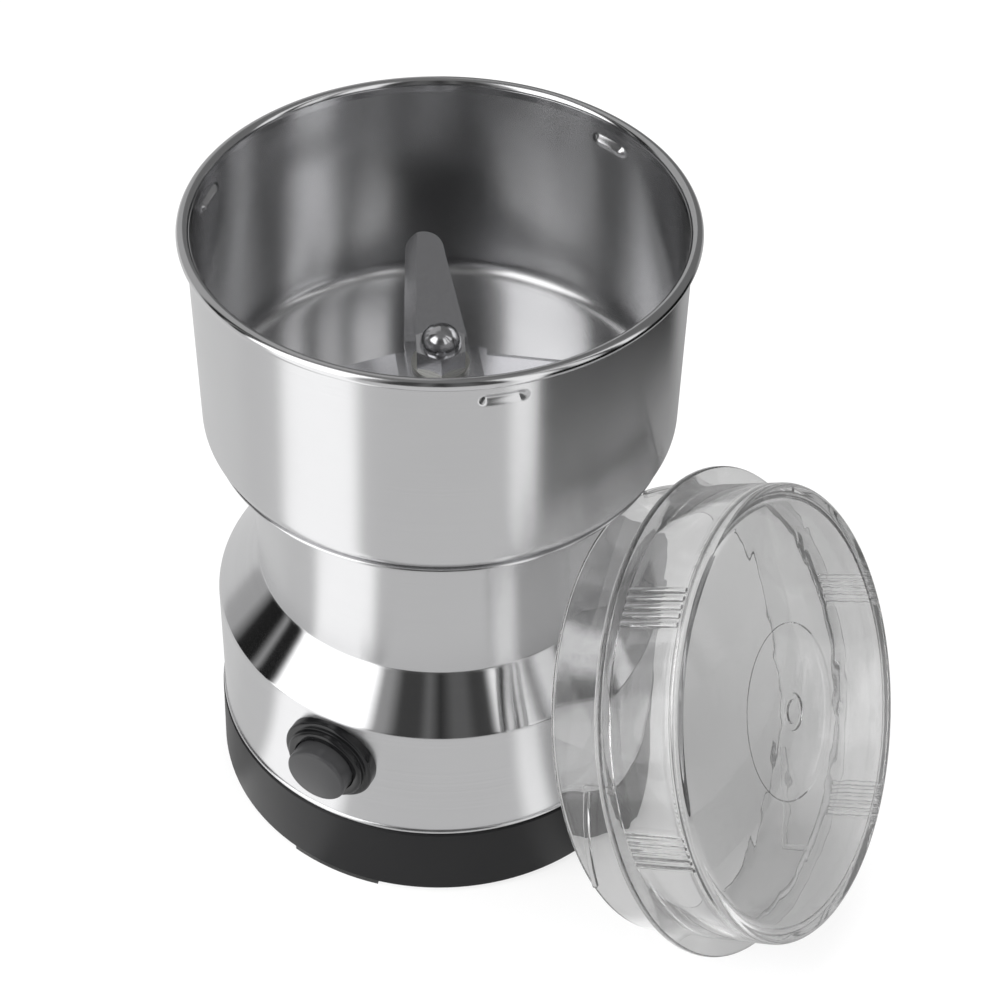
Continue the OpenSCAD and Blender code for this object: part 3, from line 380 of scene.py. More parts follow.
@dataclass(frozen=True)
class TurnedSteel(Finish):
    """18/8 stainless sheet, spun on a lathe and rubbed down with a pad while it turned.

    The rubbing leaves fine lines round the axis, so what the steel reflects is smeared up and down
    and stays sharp sideways: the eye gets upright bands of light and dark.
    """

    colour: str = "#d0d0d1"
    rubbed_colour: str = "#dcdcdd"
    roughness: float = 0.22
    rough_below: float = 0.012  # how far the smudges lower the roughness
    rough_above: float = 0.018  # and how far they raise it
    anisotropy: float = 0.90
    line_mm: float = 0.32  # the real lines are 0.05 mm apart and too fine to show
    line_depth_mm: float = 0.0012
    pass_mm: float = 1.3  # the spinning roller's own marks, one for each turn
    pass_depth_mm: float = 0.0035
    smudge_mm: float = 26.0
    polished: Optional[Zone] = None

    def inputs(self, tree: Tree, place: Socket) -> dict[str, Any]:
        """The shader's inputs."""
        part = add(tree, "SeparateXYZ", {0: place}).outputs
        round_axis = add(tree, "CombineXYZ", {0: math(tree, "MULTIPLY", part[1], -1.0), 1: part[0]})
        along = add(tree, "VectorMath", {0: round_axis.outputs[0]}, operation="NORMALIZE")
        flat = add(tree, "CombineXYZ", {0: from_axis(tree, part), 2: part[2]}).outputs[0]
        lines = noise(tree, flat, self.line_mm, 3.0, Roughness=0.7)
        smudge = noise(tree, place, self.smudge_mm, 3.0)
        waves = bump(tree, noise(tree, flat, self.pass_mm, 1.0), self.pass_depth_mm)
        rough = ranged(tree, smudge, 0.35, 0.65, self.roughness - self.rough_below,
                       self.roughness + self.rough_above)
        if self.polished:
            rough = self.zone_roughness(tree, part[2], rough)
        return {
            "Base Color": mixed(tree, lines, srgb(self.colour), srgb(self.rubbed_colour), "RGBA"),
            "Metallic": 1.0, "Roughness": rough, "Anisotropic": self.anisotropy,
            "Anisotropic Rotation": 0.25, "Tangent": along.outputs[0],
            "Normal": bump(tree, lines, self.line_depth_mm, Normal=waves),
        }

    def zone_roughness(self, tree: Tree, height: Socket, rough: Socket) -> Socket:
        """The roughness with the polished zone blended in at each end."""
        blend_mm = 0.5
        zone = self.polished
        ends = ((zone.bottom - blend_mm, zone.bottom), (zone.top + blend_mm, zone.top))
        inside = math(tree, "MULTIPLY", *(ranged(tree, height, a * MM, b * MM) for a, b in ends))
        return mixed(tree, inside, rough, zone.roughness)


@dataclass(frozen=True)
class Moulded(Finish):
    """Moulded plastic or rubber: an even colour with the fine grain that the mould's spark erosion leaves."""

    colour: str
    roughness: float
    grain_mm: float = 0.35
    grain_depth_mm: float = 0.010
    specular: float = 0.5
    cloud_mm: float = 18.0  # the size of the faint clouds that the melt's flow leaves
    cloud_gain: float = 1.25  # how much paler they are
    cloud_lift: float = 0.002
    rough_share: float = 0.08

    def inputs(self, tree: Tree, place: Socket) -> dict[str, Any]:
        """The shader's inputs."""
        grain = noise(tree, place, self.grain_mm, 2.0)
        cloud = noise(tree, place, self.cloud_mm, 4.0)
        base = np.array(srgb(self.colour))
        paler = tuple((base * self.cloud_gain + self.cloud_lift).clip(0, 1))
        return {
            "Base Color": mixed(tree, cloud, tuple(base), paler, "RGBA"),
            "Roughness": varied(tree, cloud, self.roughness, self.rough_share),
            "Specular IOR Level": self.specular, "Normal": bump(tree, grain, self.grain_depth_mm),
        }


@dataclass(frozen=True)
class BareMetal(Finish):
    """A plain, plated, sintered or stamped metal: cloudy tone and fine pits or rub marks."""

    colour: str
    roughness: float
    grain_mm: float = 0.4
    grain_depth_mm: float = 0.004
    stretch: tuple[float, float, float] = (1.0, 1.0, 1.0)  # how much finer the marks are along X, Y, Z
    dull: float = 0.82  # how dark the tone is in the marks, as a share of the colour
    rough_share: float = 0.15

    def inputs(self, tree: Tree, place: Socket) -> dict[str, Any]:
        """The shader's inputs."""
        scaled = add(tree, "Mapping", {"Vector": place, "Scale": self.stretch}).outputs[0]
        grain = noise(tree, scaled, self.grain_mm, 3.0)
        base = np.array(srgb(self.colour))
        darker = (*(base[:3] * self.dull).tolist(), 1.0)
        return {
            "Base Color": mixed(tree, grain, darker, tuple(base), "RGBA"), "Metallic": 1.0,
            "Roughness": varied(tree, grain, self.roughness, self.rough_share),
            "Normal": bump(tree, grain, self.grain_depth_mm),
        }


@dataclass(frozen=True)
class ClearPlastic(Finish):
    """Clear polystyrene, injection moulded: glossy, almost without colour, faintly wavy from its flow."""

    colour: str = "#fefefe"
    roughness: float = 0.015
    ior: float = 1.57
    body: float = 0.9  # the share that bends light; the rest goes straight through, as in a thin wall
    wave_mm: float = 11.0
    wave_depth_mm: float = 0.10
    swirl: float = 0.6  # how much the flow has twisted the waves

    def inputs(self, tree: Tree, place: Socket) -> dict[str, Any]:
        """The shader's inputs."""
        waves = noise(tree, place, self.wave_mm, 1.0, Distortion=self.swirl)
        return {
            "Base Color": srgb(self.colour), "Roughness": self.roughness, "IOR": self.ior,
            "Transmission Weight": 1.0, "Alpha": self.body,
            "Normal": bump(tree, waves, self.wave_depth_mm),
        }


# ---------------- studio


@dataclass(frozen=True)
class Panel:
    """A light or dark panel that stands round the object, as metal sees it.

    start and end are angles in degrees round the object, counted from the camera's side and
    positive to the camera's right. A panel whose edge is half its width is a soft streak.
    """

    start: float
    end: float
    level: float
    edge: float = 1.5


@dataclass(frozen=True)
class Lamp:
    """A square soft lamp: its name, place and side in millimetres, and power in watts."""

    name: str
    place: tuple[float, float, float]
    side: float
    watts: float


@dataclass
class Studio:
    """The camera at the photograph's angle, a white room, a pale floor and soft lamps."""

    eye: tuple[float, float, float] = (155.516, -292.482, 378.523)
    aim: tuple[float, float, float] = (11.070, 6.183, 70.0)
    roll: float = 1.4917
    lens: float = 76.34
    sensor: float = 36.0
    floor_reach: float = 3000.0
    ambient: float = 0.80
    ceiling: float = 0.22
    ceiling_from: float = 0.86  # how steeply a ray rises where the ceiling begins, as the sine
    ceiling_to: float = 0.94
    laminate: str = "#f0f0f0"
    shade: float = 0.22  # how much of the floor's shading the camera sees close to the object
    shade_from: float = 150.0
    shade_to: float = 600.0
    through_clear: float = 0.45  # the room as clear plastic shows it, a light grey against the white
    through_shade: float = 0.35  # how much of the floor's shading clear plastic shows
    brightest: float = 2.5
    around: tuple[Panel, ...] = (
        Panel(-180, -105, 0.45, 6),
        Panel(-105, -94, 0.015, 1.0),
        Panel(-92, -91, 0.4, 0.5),
        Panel(-90, -81, 0.015, 1.0),
        Panel(-80, -36, 2.0),
        Panel(-34, -24, 0.36, 3),
        Panel(-22, -9, 0.06),
        Panel(-8, -4, 0.17, 2),
        Panel(-3, 3, 0.03, 3),
        Panel(4, 15, 0.13, 2.5),
        Panel(16, 26, 0.06),
        Panel(27, 44, 1.15),
        Panel(46, 52, 0.12, 3),
        Panel(53, 65, 0.9, 2),
        Panel(66, 74, 0.06),
        Panel(75, 86, 1.1, 2),
        Panel(88, 180, 0.18, 2),
    )
    on_floor: tuple[Panel, ...] = (  # on the left and in front, the same near and far
        Panel(-180, -90, 0.75, 8),
        Panel(-90, -68, 0.70, 3),
        Panel(-67, -35, 1.34),
        Panel(-33, 28, 0.68, 2),
    )
    near_floor: tuple[Panel, ...] = (
        Panel(29, 37, 1.15),
        Panel(38, 90, 0.50, 2),
        Panel(94, 180, 0.45, 5),
    )
    far_floor: tuple[Panel, ...] = (
        Panel(29, 39, 1.15),
        Panel(40, 118, 0.005, 2),
        Panel(124, 180, 0.50, 5),
    )
    far_from: float = 174.0
    far_to: float = 190.0
    lamps: tuple[Lamp, ...] = (
        Lamp("key", (-420.0, -620.0, 760.0), 520.0, 9.0),
        Lamp("fill", (720.0, -260.0, 520.0), 640.0, 5.0),
        Lamp("back", (-120.0, 640.0, 700.0), 560.0, 5.0),
    )

    def build(self) -> None:
        """Makes the whole studio and sets the view's colours."""
        self.camera()
        self.world()
        self.floor()
        for lamp in self.lamps:
            self.light(lamp)
        bpy.context.scene.view_settings.view_transform = "Standard"

    def camera(self) -> None:
        """Makes the camera: it looks from the eye to the aim, rolled a little about that line."""
        eye, aim = Vector(self.eye), Vector(self.aim)
        forward = (aim - eye).normalized()
        level = forward.cross(Vector((0, 0, 1))).normalized()
        turn = np.radians(self.roll)
        right = level * np.cos(turn) + level.cross(forward) * np.sin(turn)
        up = right.cross(forward)
        data = bpy.data.cameras.new("camera")
        data.lens = self.lens
        data.sensor_width = self.sensor
        data.clip_start = 0.01
        data.clip_end = 50
        camera = linked("camera", data)
        matrix = np.eye(4)
        matrix[:3, 0], matrix[:3, 1], matrix[:3, 2], matrix[:3, 3] = right, up, -forward, eye * MM
        camera.matrix_world = Matrix(matrix.tolist())
        bpy.context.scene.camera = camera

    def seen_level(self, tree: Tree, x: Socket, y: Socket, panels: Sequence[Panel]) -> Socket:
        """The level of the panel that lies in a direction (x, y).

        The angle from the camera's side is atan2(y, x) less the camera's own angle, wrapped to one
        turn, and a colour ramp over that turn holds the panels with soft edges.
        """
        camera_angle = np.arctan2(self.eye[1], self.eye[0])
        angle = math(tree, "ARCTAN2", y, x)
        share = math(tree, "MULTIPLY", math(tree, "SUBTRACT", angle, float(camera_angle)), float(0.5 / np.pi))
        wrapped = math(tree, "FRACT", math(tree, "ADD", share, 1.5))
        ramp = add(tree, "ValToRGB", {0: wrapped})
        ramp.color_ramp.interpolation = "LINEAR"
        stops = ramp.color_ramp.elements
        for panel in panels:
            for angle_at in sorted({panel.start + panel.edge, panel.end - panel.edge}):
                stop = stops.new(angle_at / 360 + 0.5)
                stop.color = [panel.level / self.brightest] * 3 + [1]
        stops.remove(stops[0])
        stops.remove(stops[len(stops) - 1])
        return math(tree, "MULTIPLY", ramp.outputs[0], self.brightest)

    def world(self) -> None:
        """Makes the white room. Metal sees its panels, and above them a soft grey ceiling."""
        world = bpy.data.worlds.new("room")
        world.use_nodes = True
        bpy.context.scene.world = world
        tree = world.node_tree
        tree.nodes.clear()
        direction = add(tree, "TexCoord").outputs["Generated"]
        part = add(tree, "SeparateXYZ", {0: direction}).outputs
        panels = self.seen_level(tree, part[0], part[1], self.around)
        high = ranged(tree, part[2], self.ceiling_from, self.ceiling_to)
        overhead = mixed(tree, high, panels, self.ceiling)
        level = self.ambient
        for kind, seen in zip(ray_kinds(tree), (1.0, overhead, self.through_clear)):
            level = mixed(tree, kind, level, seen)
        light = add(tree, "Background", {"Color": (1, 1, 1, 1), "Strength": level})
        add(tree, "OutputWorld", {"Surface": light.outputs[0]})

    def floor(self) -> None:
        """Makes the pale floor: white to the camera, with a light shadow."""
        count = 9
        u = np.linspace(-self.floor_reach, self.floor_reach, count)
        x, y = np.meshgrid(u, u, indexing="ij")
        points = np.stack([x, y, np.zeros_like(x)], axis=-1)
        floor = meshed("floor", points, grid_quads(count, count, False, False).tolist())
        floor.data.materials.append(self.floor_material())

    def floor_material(self) -> Material:
        """White laminate. Most of what the camera sees is its own white, and the rest is shaded."""
        material, tree = new_material("white_laminate")
        place = add(tree, "TexCoord").outputs["Object"]
        part = add(tree, "SeparateXYZ", {0: place}).outputs
        shaded = add(tree, "BsdfDiffuse", {"Color": srgb(self.laminate)}).outputs[0]
        away = from_axis(tree, part)
        is_far = ranged(tree, away, self.far_from * MM, self.far_to * MM)
        level = mixed(tree, is_far, *(self.seen_level(tree, part[0], part[1], self.on_floor + panels)
                                      for panels in (self.near_floor, self.far_floor)))
        white, seen_by_metal, grey = (
            add(tree, "Emission", {"Color": (1, 1, 1, 1), "Strength": strength}).outputs[0]
            for strength in (1.0, level, self.through_clear)
        )
        share = ranged(tree, away, self.shade_from * MM, self.shade_to * MM, self.shade, 0.0)
        to_camera = add(tree, "MixShader", {0: share, 1: white, 2: shaded}).outputs[0]
        through = add(tree, "MixShader", {0: self.through_shade, 1: grey, 2: shaded}).outputs[0]
        look = shaded
        for kind, seen in zip(ray_kinds(tree), (to_camera, seen_by_metal, through)):
            look = add(tree, "MixShader", {0: kind, 1: look, 2: seen}).outputs[0]
        add(tree, "OutputMaterial", {"Surface": look})
        return material

    def light(self, lamp: Lamp) -> None:
        """Makes a lamp that points at the object's middle. Metal and clear plastic don't show it."""
        data = bpy.data.lights.new(lamp.name, "AREA")
        data.size = lamp.side * MM
        data.energy = lamp.watts
        light = linked(lamp.name, data)
        light.location = Vector(lamp.place) * MM
        toward = Vector(self.aim) - Vector(lamp.place)
        light.rotation_euler = toward.to_track_quat("-Z", "Y").to_euler()
        light.visible_glossy = False
        light.visible_transmission = False
        light.visible_camera = False


# ---------------- housing


@dataclass
class Shell:
    """The spun steel shell: hemmed band, sloping shoulder, neck and turned-out lip."""

    band_taper: float = 0.5
    hem_d: float = 1.3
    hem_out: float = 0.4
    shoulder_h: float = 10.2
    band_h: float = 29.8
    neck_r: float = 39.3
    lip_r: float = 46.4
    sheet: float = 0.8
    bend: float = 1.0
    lip_bend: float = 1.4
    hole_r: float = 9.05
    hole_z: float = 37.5
    cut_from: float = 30.0  # the button's hole is cut from here outwards, clear of the far wall
    cut_beyond: float = 2.0
    longest: float = 1.5  # the longest stretch of the outline
    polish_inset: float = 0.4  # the polish stops this short of the shoulder's two bends
    polish: float = 0.1

    def profile(self) -> Profile:
        """The sheet's closed outline: both sides of a rounded path, with the hem's circle at its foot."""
        low, high = box_mm("body_shell")
        half = self.sheet / 2
        band_r = high.x - self.hem_out
        shoulder_z = low.z + self.band_h
        path = rounded([
            (band_r - half, low.z + self.hem_d / 2, 0),
            (band_r - self.band_taper - half, shoulder_z, self.bend),
            (self.neck_r - half, shoulder_z + self.shoulder_h, self.bend),
            (self.neck_r - half, high.z - half, self.lip_bend),
            (self.lip_r, high.z - half, 0),
        ], 10)
        outer, inner = beside(path, -half), beside(path, half)
        hem_r = self.hem_d / 2
        hem_mid = np.array([band_r - hem_r + self.hem_out, low.z + hem_r])
        start = np.degrees(np.arccos((band_r - hem_mid[0]) / hem_r))
        end = np.degrees(np.arccos((band_r - self.sheet - hem_mid[0]) / hem_r)) - 360
        hem = arc(hem_mid[0], hem_mid[1], hem_r, start, end, 20)
        rim = arc(self.lip_r, high.z - half, half, -90, 90, 6)
        return np.concatenate([refined(outer[1:-1], self.longest), rim,
                               refined(inner[1:-1][::-1], self.longest), hem[::-1]])

    def polished(self) -> Zone:
        """The polished shoulder."""
        bottom = box_mm("body_shell")[0].z + self.band_h
        return Zone(bottom + self.polish_inset, bottom + self.shoulder_h - self.polish_inset, self.polish)

    def build(self) -> None:
        """Builds the shell and cuts the button's hole."""
        shell = surface("steel_shell", turned(self.profile(), full_turn(384)))
        end = self.cut_beyond - box_mm("button_bezel")[0].y
        cutter = np.array([[0, self.cut_from], [self.hole_r, self.cut_from], [self.hole_r, end], [0, end]])
        tool = surface("tool", facing_front(turned(cutter, full_turn(96)), self.hole_z), loop=False)
        combine(shell, tool, "DIFFERENCE")
        finish = TurnedSteel("satin_shell_steel", polished=self.polished()).material()
        dress(shell, finish, Body.HOUSING, "body_shell")


def facing_front(points: np.ndarray, height: float) -> np.ndarray:
    """Points made round +Z, laid with that axis towards -Y at the button's height: (x, -z, height + y)."""
    return np.stack([points[..., 0], -points[..., 2], points[..., 1] + height], axis=-1)


@dataclass
class PushButton:
    """The push button: a flanged surround that follows the band, and a slightly domed cap."""

    height: float = 37.5
    bezel_r: float = 10.2
    collar_r: float = 8.7
    collar_h: float = 1.6
    barrel_r: float = 9.0
    edge: float = 0.6
    root_r: float = 0.2
    lip_t: float = 1.5
    mouth_r: float = 0.25
    bore_r: float = 6.85
    recess_r: float = 7.75
    recess_depth: float = 2.9
    cap_r: float = 6.7
    cap_out: float = 3.5
    cap_flange_r: float = 7.6
    cap_flange_t: float = 1.0
    cap_edge: float = 0.7
    cap_dome: float = 0.4
    stem_r: float = 2.0
    shell_gap: float = 0.05

    def bezel_points(self) -> np.ndarray:
        """The surround's grid: a profile turned round the button's axis, its flange's back on the band.

        The band is a cone, so a point of the back at (x, y) across the axis lies at depth
        sqrt(R(z)^2 - x^2), where R falls with height.
        """
        low, high = box_mm("button_bezel")
        shell_low, shell_high = box_mm("body_shell")
        band_foot_r = shell_high.x - Shell.hem_out
        collar_face, back = -low.y, -high.y
        face, recess_floor = collar_face - self.collar_h, collar_face - self.recess_depth
        profile = np.concatenate([
            [[self.barrel_r, back], [self.barrel_r, 0], [self.bezel_r, 0]],
            arc(self.bezel_r - self.edge, face - self.edge, self.edge, 0, 90, 8),
            arc(self.collar_r + self.root_r, face + self.root_r, self.root_r, -90, -180, 4),
            arc(self.collar_r - self.edge, collar_face - self.edge, self.edge, 0, 90, 8),
            arc(self.bore_r + self.mouth_r, collar_face - self.mouth_r, self.mouth_r, 90, 180, 4),
            [[self.bore_r, recess_floor], [self.recess_r, recess_floor], [self.recess_r, back]],
        ])
        angles = full_turn(128)
        points = turned(profile, angles)
        on_band = profile[:, 1] == 0
        across, up = points[:, on_band, 0], points[:, on_band, 1] + self.height - shell_low.z
        band_r = band_foot_r - Shell.band_taper * up / Shell.band_h + self.shell_gap
        points[:, on_band, 2] = np.sqrt(band_r**2 - across**2)
        return facing_front(points, self.height)

    def cap_profile(self) -> Profile:
        """The cap's outline from the middle of its dome to the end of its stem."""
        low, high = box_mm("button_cap")
        front, stem_end = -low.y - self.cap_dome, -high.y
        back = front - self.cap_out - self.collar_h - self.lip_t - self.cap_flange_t
        reach = self.cap_r - self.cap_edge
        r = np.linspace(0, reach, 9)[:-1]
        dome = np.stack([r, front + self.cap_dome * (1 - (r / reach) ** 2)], axis=-1)
        return np.concatenate([
            dome,
            arc(reach, front - self.cap_edge, self.cap_edge, 90, 0, 10),
            [[self.cap_r, back + self.cap_flange_t], [self.cap_flange_r, back + self.cap_flange_t]],
            [[self.cap_flange_r, back], [self.stem_r, back], [self.stem_r, stem_end], [0, stem_end]],
        ])

    def build(self) -> None:
        """Builds both pieces."""
        glossy = Moulded("black_surround_plastic", "#0e0e0f", 0.14, grain_depth_mm=0.002, specular=0.38)
        satin = Moulded("black_cap_plastic", "#303031", 0.32, specular=0.3)
        bezel = surface("button_surround", self.bezel_points())
        dress(bezel, glossy.material(), Body.HOUSING, "button_bezel")
        cap_points = facing_front(turned(self.cap_profile(), full_turn(96)), self.height)
        cap = surface("push_cap", cap_points, loop=False)
        dress(cap, satin.material(), Body.BUTTON, "button_cap")


@dataclass
class ReturnSpring:
    """The button's coiled return spring, built at its rest length; the real one shortens as the cap goes in.
    """

    coil_r: float = 4.6
    wire: float = 0.7
    turns: int = 5
    steps: int = 40
    sides: int = 12
    travel: float = 3.0

    def build(self) -> None:
        """Builds the spring: a wire whose middle climbs evenly as it goes round the coil's circle.

        At share t of its length it is at (r cos 2 pi n t, r sin 2 pi n t, foot + t times the climb),
        and the wire's own circle lies across that path, in the plane of the axis.
        """
        low, high = box_mm("button_spring")
        foot, head = self.wire / 2 - high.y, -low.y - self.wire / 2
        t = np.concatenate([[0], np.linspace(0, 1, self.turns * self.steps + 1), [1]])
        round_wire = full_turn(self.sides)[:, None]
        wire_r = np.full_like(t, self.wire / 2)
        wire_r[[0, -1]] = 0
        turn = 2 * np.pi * self.turns * t
        r = self.coil_r + wire_r * np.cos(round_wire)
        z = foot + (head - foot) * t + wire_r * np.sin(round_wire)
        middle_z = PushButton.height
        points = facing_front(np.stack([r * np.cos(turn), r * np.sin(turn), z], axis=-1), middle_z)
        finish = BareMetal("drawn_spring_wire", "#c4c4c4", 0.25).material()
        spring = surface("return_spring", points, loop=False, sharp=60.0)
        dress(spring, finish, Body.HOUSING, "button_spring")
        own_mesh(spring)


# ---------------- bowl


@dataclass
class Bowl:
    """The spun bowl with a beaded rim and three pressed dimples that lock the lid."""

    wall: float = 0.8
    corner_r: float = 4.4
    hole_r: float = 8.2
    bead_d: float = 2.4
    bead_step: float = 0.1
    wall_r: float = 48.3
    floor_z: float = 95.4
    dimple_turn: float = -48.6
    dimple_drop: float = 5.8
    dimple_l: float = 9.0
    dimple_w: float = 2.6
    dimple_depth: float = 0.9
    press_spread: float = 1.15  # how far the pressed sheet bends, as a share of the dimple's width
    press_margin: float = 0.2
    press_step: float = 0.3
    press_half_turn: float = 7.5  # degrees with finer points to each side of a dimple's middle
    press_turn_step: float = 0.5
    longest: float = 3.0  # the longest stretch of the outline
    straight_h: float = 10.0  # only the wall has a stretch higher than this
    stud_r: float = 2.0
    stud_ring_r: float = 22.0
    stud_turn: float = 15.0
    stud_foot_z: float = 86.8
    stud_edge: float = 0.3
    polish: float = 0.14  # the bead's roughness
    polish_over: float = 1.0

    def profile(self, rim_z: float) -> Profile:
        """The closed outline: outside wall, beaded rim, inside wall and floor, from the hole round."""
        half = self.wall / 2
        path = rounded([
            (self.hole_r, self.floor_z + half, 0),
            (self.wall_r - half, self.floor_z + half, self.corner_r - half),
            (self.wall_r - half, rim_z - self.bead_d / 2, 0),
        ], 12)
        outer, inner = beside(path, -half), beside(path, half)
        bead_r = self.bead_d / 2
        bead_mid = self.wall_r - self.wall + self.bead_step + bead_r
        start = -np.degrees(np.arccos((self.wall_r - bead_mid) / bead_r))
        bead = arc(bead_mid, rim_z - bead_r, bead_r, start, 180, 24)
        return np.concatenate([self.dense(outer, rim_z)[:-1], bead, self.dense(inner[::-1], rim_z)])

    def dense(self, path: Profile, rim_z: float) -> Profile:
        """A side of the sheet with short stretches near the dimples, which bend it."""
        reach = self.dimple_w * self.press_spread / 2 + self.press_margin
        middle = rim_z - self.dimple_drop
        cuts = np.arange(middle - reach, middle + reach, self.press_step)
        straight = np.nonzero(np.abs(np.diff(path[:, 1])) > self.straight_h)[0][0]
        extra = np.stack([np.full_like(cuts, path[straight, 0]), cuts], axis=-1)
        if path[straight, 1] > path[straight + 1, 1]:
            extra = extra[::-1]
        return refined(np.concatenate([path[: straight + 1], extra, path[straight + 1 :]]), self.longest)

    def pressed(self, points: np.ndarray, angles: np.ndarray, rim_z: float) -> np.ndarray:
        """Moves the wall in at the dimples.

        With s the distance from the dimple's middle line, as a share of its half width times the
        spread, the wall moves in by depth times (1 - 3 s^2 + 2 s^3).
        """
        half_l = (self.dimple_l - self.dimple_w) / 2
        radius = np.hypot(points[..., 0], points[..., 1])
        off = np.degrees(angles)[:, None] - np.array(self.dimple_turns)
        nearest = np.radians(np.abs((off + 180) % 360 - 180).min(axis=1))[:, None] * self.wall_r
        along = np.maximum(nearest - half_l, 0)
        up = points[..., 2] - (rim_z - self.dimple_drop)
        s = np.clip(np.hypot(along, up) / (self.dimple_w / 2 * self.press_spread), 0, 1)
        move = self.dimple_depth * (1 - 3 * s**2 + 2 * s**3)
        share = (radius - move) / np.maximum(radius, 1e-6)
        out = points.copy()
        out[..., :2] *= share[..., None]
        return out

    @property
    def dimple_turns(self) -> list[float]:
        """The angles of the dimples' middles, in degrees."""
        return [self.dimple_turn + 120 * k for k in range(3)]

    def stud(self, turn: float) -> Piece:
        """One of the threaded studs that hold the bowl: a turned pin on a ring round the axis."""
        profile = np.array([
            [0, self.stud_foot_z], [self.stud_r - self.stud_edge, self.stud_foot_z],
            [self.stud_r, self.stud_foot_z + self.stud_edge], [self.stud_r, self.floor_z + self.wall / 2],
            [0, self.floor_z + self.wall / 2],
        ])
        middle = self.stud_ring_r * np.array([np.cos(turn), np.sin(turn), 0])
        return surface("tool", turned(profile, full_turn(24)) + middle, loop=False)

    def build(self) -> None:
        """Builds the bowl, with the studs under its floor."""
        rim_z = box_mm("grinding_bowl")[1].z
        angles = angles_with(240, self.dimple_turns, self.press_half_turn, self.press_turn_step)
        points = self.pressed(turned(self.profile(rim_z), angles), angles, rim_z)
        bowl = surface("spun_bowl", points)
        for k in range(3):
            combine(bowl, self.stud(np.radians(self.stud_turn + 120 * k)), "UNION")
        bead = Zone(rim_z - self.bead_d, rim_z + self.polish_over, self.polish)
        finish = TurnedSteel("satin_bowl_steel", polished=bead).material()
        dress(bowl, finish, Body.HOUSING, "grinding_bowl")


# ---------------- lid


